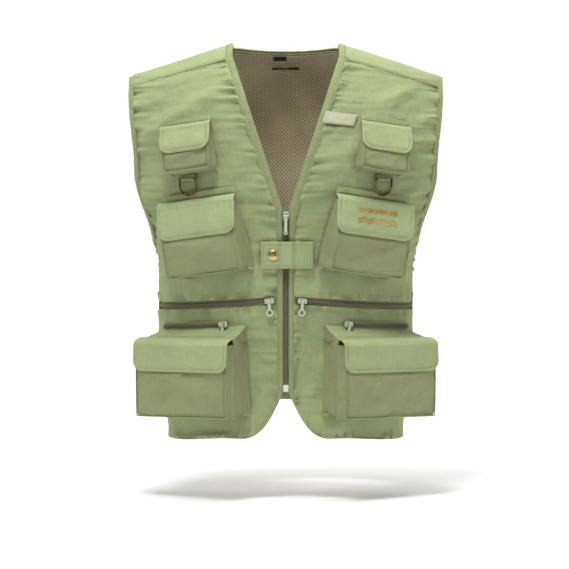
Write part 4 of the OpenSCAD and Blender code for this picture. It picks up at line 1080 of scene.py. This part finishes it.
def tab_off(x):
    return TAB_LOW + TAB_HUMP * (ease(-11.3, -6.2, x) - ease(8, 17, x)) - (TAB_LOW - 1.4) * ease(26, 40, x)


def snap_tab():
    left, right, top = TAB_END - TAB_LEN, TAB_END, TAB_H / 2
    x, z = np.meshgrid(np.linspace(left, right, 70), np.linspace(-top, top, 30))
    edge = np.minimum(np.minimum(x - left, right - x), top - np.abs(z))
    dent = np.exp(-(((x - SNAP_X) ** 2 + z**2) / 8**2) ** 2)
    puff = 0.45 * ease(0, 3, edge) - 0.5 * np.exp(-((edge - 4.2) / 1.0) ** 2) + 0.3 * noise(x / 12, z / 9, 7)
    round_off = 0.7 * ease(1.4, 0, edge)
    face = body_y(x) - tab_off(x)
    outer = np.stack([x, face - TAB_T - puff * (1 - dent) * 0.6 + round_off, TAB_Z + z], -1)
    inner = np.stack([x, face - round_off * 0.8 - 0.1, TAB_Z + z], -1)
    cut("tab_cloth", outer, inner, flat_uv(x, z), "snap_tab", outer, rests_on=("front_upper_right",),
        body="snap_tab", slot="flap_cloth", material=FLAP, sharp=60)
    g = 4.2
    low, high = (right - g, g - top), (right - g, top - g)
    cross = [(right - 14, g - top), (right - 14, top - g)]
    for points in ([low, (left + g, g - top), (left + g, top - g), high], [low, high], cross):
        points = np.array(points, float)
        d = lengths(points)
        x, z = read_at(np.linspace(0, d[-1], int(d[-1] / 2)), d, points).T
        line = np.stack([x, body_y(x) - tab_off(x) - TAB_T - 0.15, TAB_Z + z], -1)
        stitch(line, [0.0, -1, 0], body="snap_tab", size=0.95)


def ring_loop_pieces():
    """The webbing that each D-ring hangs in: out from the body, round the ring's bar and back."""
    p = Pocket("ring", round_to(152, MID_Z + 30), MID_Z + 30)
    half_turn = np.linspace(-math.pi / 2, math.pi / 2, 16)
    turn = [(3.4 + 2.35 * math.sin(x), 2.35 * math.cos(x)) for x in half_turn]
    path = np.array([(0.7, -7.5), (0.8, -3.0)] + turn + [(3.2, -4.0), (1.9, -8.0)])
    path = read_at(np.linspace(0, len(path) - 1, 44), np.arange(len(path)), path)
    u, n = np.meshgrid(np.linspace(-10.8, 10.8, 18), path[:, 0])
    t, run = (np.broadcast_to(v[:, None], u.shape) for v in (path[:, 1], lengths(path)))
    grid = p.local(u, t, n + 0.12 * noise(u / 4, t / 4, 3))
    half = normals_of(grid) * 0.45
    x = np.linspace(-9, 9, 24)
    for which, side in EDGE_SIDES:
        cut(f"ring_tape_{which}", grid + half, grid - half, flat_uv(u, run), "ring_loops", side=side,
            slot="webbing", material=WEBBING)
        stitch(p.local(x, np.full_like(x, -4.6), np.full_like(x, 3.5)), p.n, side)


def pale_patch():
    """The pile patch beside the V neck."""
    z = CHEST_Z + 11
    r = float(rise_r(sec_s(80 / widen(z))))
    q0 = ARCH_Z + r * math.asin((z - ARCH_Z) / r)

    def on_body(i, j):
        return mix(42, 80, i) + 4 * j, q0 + mix(-10, 10, j) - 6 * i

    i, j = np.meshgrid(np.linspace(0, 1, 50), np.linspace(0, 1, 20))
    s, q = on_body(i, j)
    edge = np.minimum(np.minimum(i, 1 - i) * 38, np.minimum(j, 1 - j) * 20)
    off = 1.4 + 1.1 * ease(0, 2, edge) + 0.22 * noise(s * 1.3, q * 1.3, 3)
    cut("pale_pile_patch", skin(s, q, off), skin(s, q, 0.5), flat_uv(s, q), "chest_patch", slot="pale_patch",
        material=PALE, sharp=60)
    rim = [(0.04, 0.08), (0.96, 0.08), (0.96, 0.92), (0.04, 0.92), (0.04, 0.08)]
    for (a, b), (c, d) in zip(rim, rim[1:]):
        seam(*on_body(np.linspace(a, c, 30), np.linspace(b, d, 30)), 2.1, step=2.8)


def embroider(us, ts):
    us, ts = np.array(us, float), np.array(ts, float)
    for t in (ts, ts + 0.5, ts + 1.0):
        stitch(MID.local(us, t, flap_face(MID, t) + 0.5), MID.n, body="mid_flap_left", step=2.0, size=1.15,
               thread="gold")


def motif():
    """A row of small fish over a double wave, on the left middle flap."""
    a = np.linspace(0, 2 * math.pi, 20)
    for k in range(6):
        c = -26 + k * 11.2
        embroider(c + 3.6 * np.cos(a), 18 + 2.6 * np.sin(a))
        embroider([c + 3.6, c + 6.0, c + 6.0, c + 3.6], [18, 15.6, 20.4, 18])
    u = np.linspace(-32, 36, 90)
    for t0 in (31, 36):
        embroider(u, t0 + 1.8 * np.sin(u / 2.6))


def cad_finish():
    """Finishes for the CAD pieces that show: sliders, pulls, rings, snap, box, label, loop and loop tape."""
    satin = cloth("label_weave", srgb(22, 22, 22), pitch=0.0008, bump=0.4, spread=0.2, rough=0.5,
                  coords="Object")
    pile = cloth("loop_pile_cad", srgb(40, 40, 34), pitch=0.0014, bump=1.0, spread=0.2, sheen=0.6,
                 coords="Object")
    choice = {"snap_cap": SNAP, "snap_stud": BRASS, "retainer_box": CLEAR, "size_label": satin,
              "hanger_loop": satin, "loop_patches": pile}
    for which, _ in EDGE_SIDES:
        choice[f"d_ring_{which}"] = BRASS
        for part in ("waist_slider", "waist_pull", "lower_slider", "lower_pull"):
            choice[f"{part}_{which}"] = PAINT
    choice["main_slider"] = choice["main_pull"] = PAINT
    for name, material in choice.items():
        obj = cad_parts[name]
        for item in obj.material_slots:
            item.material = material
        if not obj.material_slots:
            obj.data.materials.append(material)


front_panels()
back_panels()
bindings()
pouches()
flaps()
compartments()
zips()
snap_tab()
ring_loop_pieces()
pale_patch()
motif()
sew_all()
cad_finish()


# ---- studio ----
def studio():
    # a round floor that curves up into a wall, darker on the camera's side
    floor_z, floor_r, bend_r = HEM_Z / 1000 - 0.095, 6.0, 1.5
    bend = np.radians(np.arange(10, 91, 10))
    profile = [(r, floor_z) for r in (0.0, 1.5, 3.5, floor_r)]
    profile += [(floor_r + bend_r * math.sin(a), floor_z + bend_r * (1 - math.cos(a))) for a in bend]
    profile += [(floor_r + bend_r, 6.0)]
    turn = np.linspace(0, 2 * math.pi, 97)
    verts = [(r * math.sin(a), r * math.cos(a), z) for r, z in profile for a in turn]
    mesh = bpy.data.meshes.new("backdrop")
    mesh.from_pydata(verts, [], grid_faces(len(profile), len(turn)))
    mesh.shade_smooth()
    obj = bpy.data.objects.new("backdrop", mesh)
    bpy.context.scene.collection.objects.link(obj)
    g = Graph("paper")
    at = g.coords["Object"]
    away = g.add("VectorMath", {0: at})
    away.operation = "LENGTH"
    far = g.greys(g.times(away.outputs["Value"], 1 / 8), [(0.3, 0), (0.62, 1)])
    rear = g.greys(g.times(g.add("SeparateXYZ", {0: at}).outputs[1], 1 / 8), [(0.1, 0), (0.32, 1)])
    dim = g.times(far, g.minus(1.0, rear))
    paper = g.greys(g.noise(at, 40, 2), [(0.3, 0.93), (0.7, 0.95)])
    glow = g.plus(g.plus(g.times(dim, 0.13), g.times(rear, 0.36)), 0.07)
    g.feed(g.shader, {"Base Color": g.minus(paper, g.times(dim, 0.84)), "Emission Strength": glow,
                      "Emission Color": (1, 1, 1, 1), "Roughness": 0.9})
    mesh.materials.append(g.mat)

    world = bpy.data.worlds.new("studio")
    bpy.context.scene.world = world
    world.use_nodes = True
    sky = world.node_tree.nodes["Background"].inputs
    sky["Color"].default_value, sky["Strength"].default_value = (1, 1, 1, 1), 0.24
    middle = (Vector(CAD_BOX[0]) + Vector(CAD_BOX[1])) / 2

    def area(name, place, size, power):
        light = bpy.data.lights.new(name, "AREA")
        light.shape, light.size, light.energy = "DISK", size, power
        obj = bpy.data.objects.new(name, light)
        obj.location = place
        obj.rotation_euler = (middle - Vector(place)).to_track_quat("-Z", "Y").to_euler()
        bpy.context.scene.collection.objects.link(obj)

    area("key", (-0.5, -1.4, 2.8), 1.1, 80)
    area("top", (0.1, -0.2, 2.4), 1.2, 34)
    area("fill", (2.4, -2.4, 0.2), 1.6, 6)
    area("back", (0.3, 1.9, 1.7), 1.4, 16)

    camera = bpy.data.cameras.new("camera")
    camera.sensor_width = 36
    distance, tilt, view_w = 5.0, math.radians(3), 0.888
    camera.lens = camera.sensor_width * distance / view_w
    obj = bpy.data.objects.new("camera", camera)
    aim = Vector((-0.002, -(HALF_D + ORIGIN[1]) / 1000, HEM_Z / 1000 + 0.243))
    obj.location = aim + distance * Vector((0, -math.cos(tilt), math.sin(tilt)))
    obj.rotation_euler = (aim - obj.location).to_track_quat("-Z", "Y").to_euler()
    bpy.context.scene.collection.objects.link(obj)
    bpy.context.scene.camera = obj
    bpy.context.scene.view_settings.view_transform = "Standard"


studio()
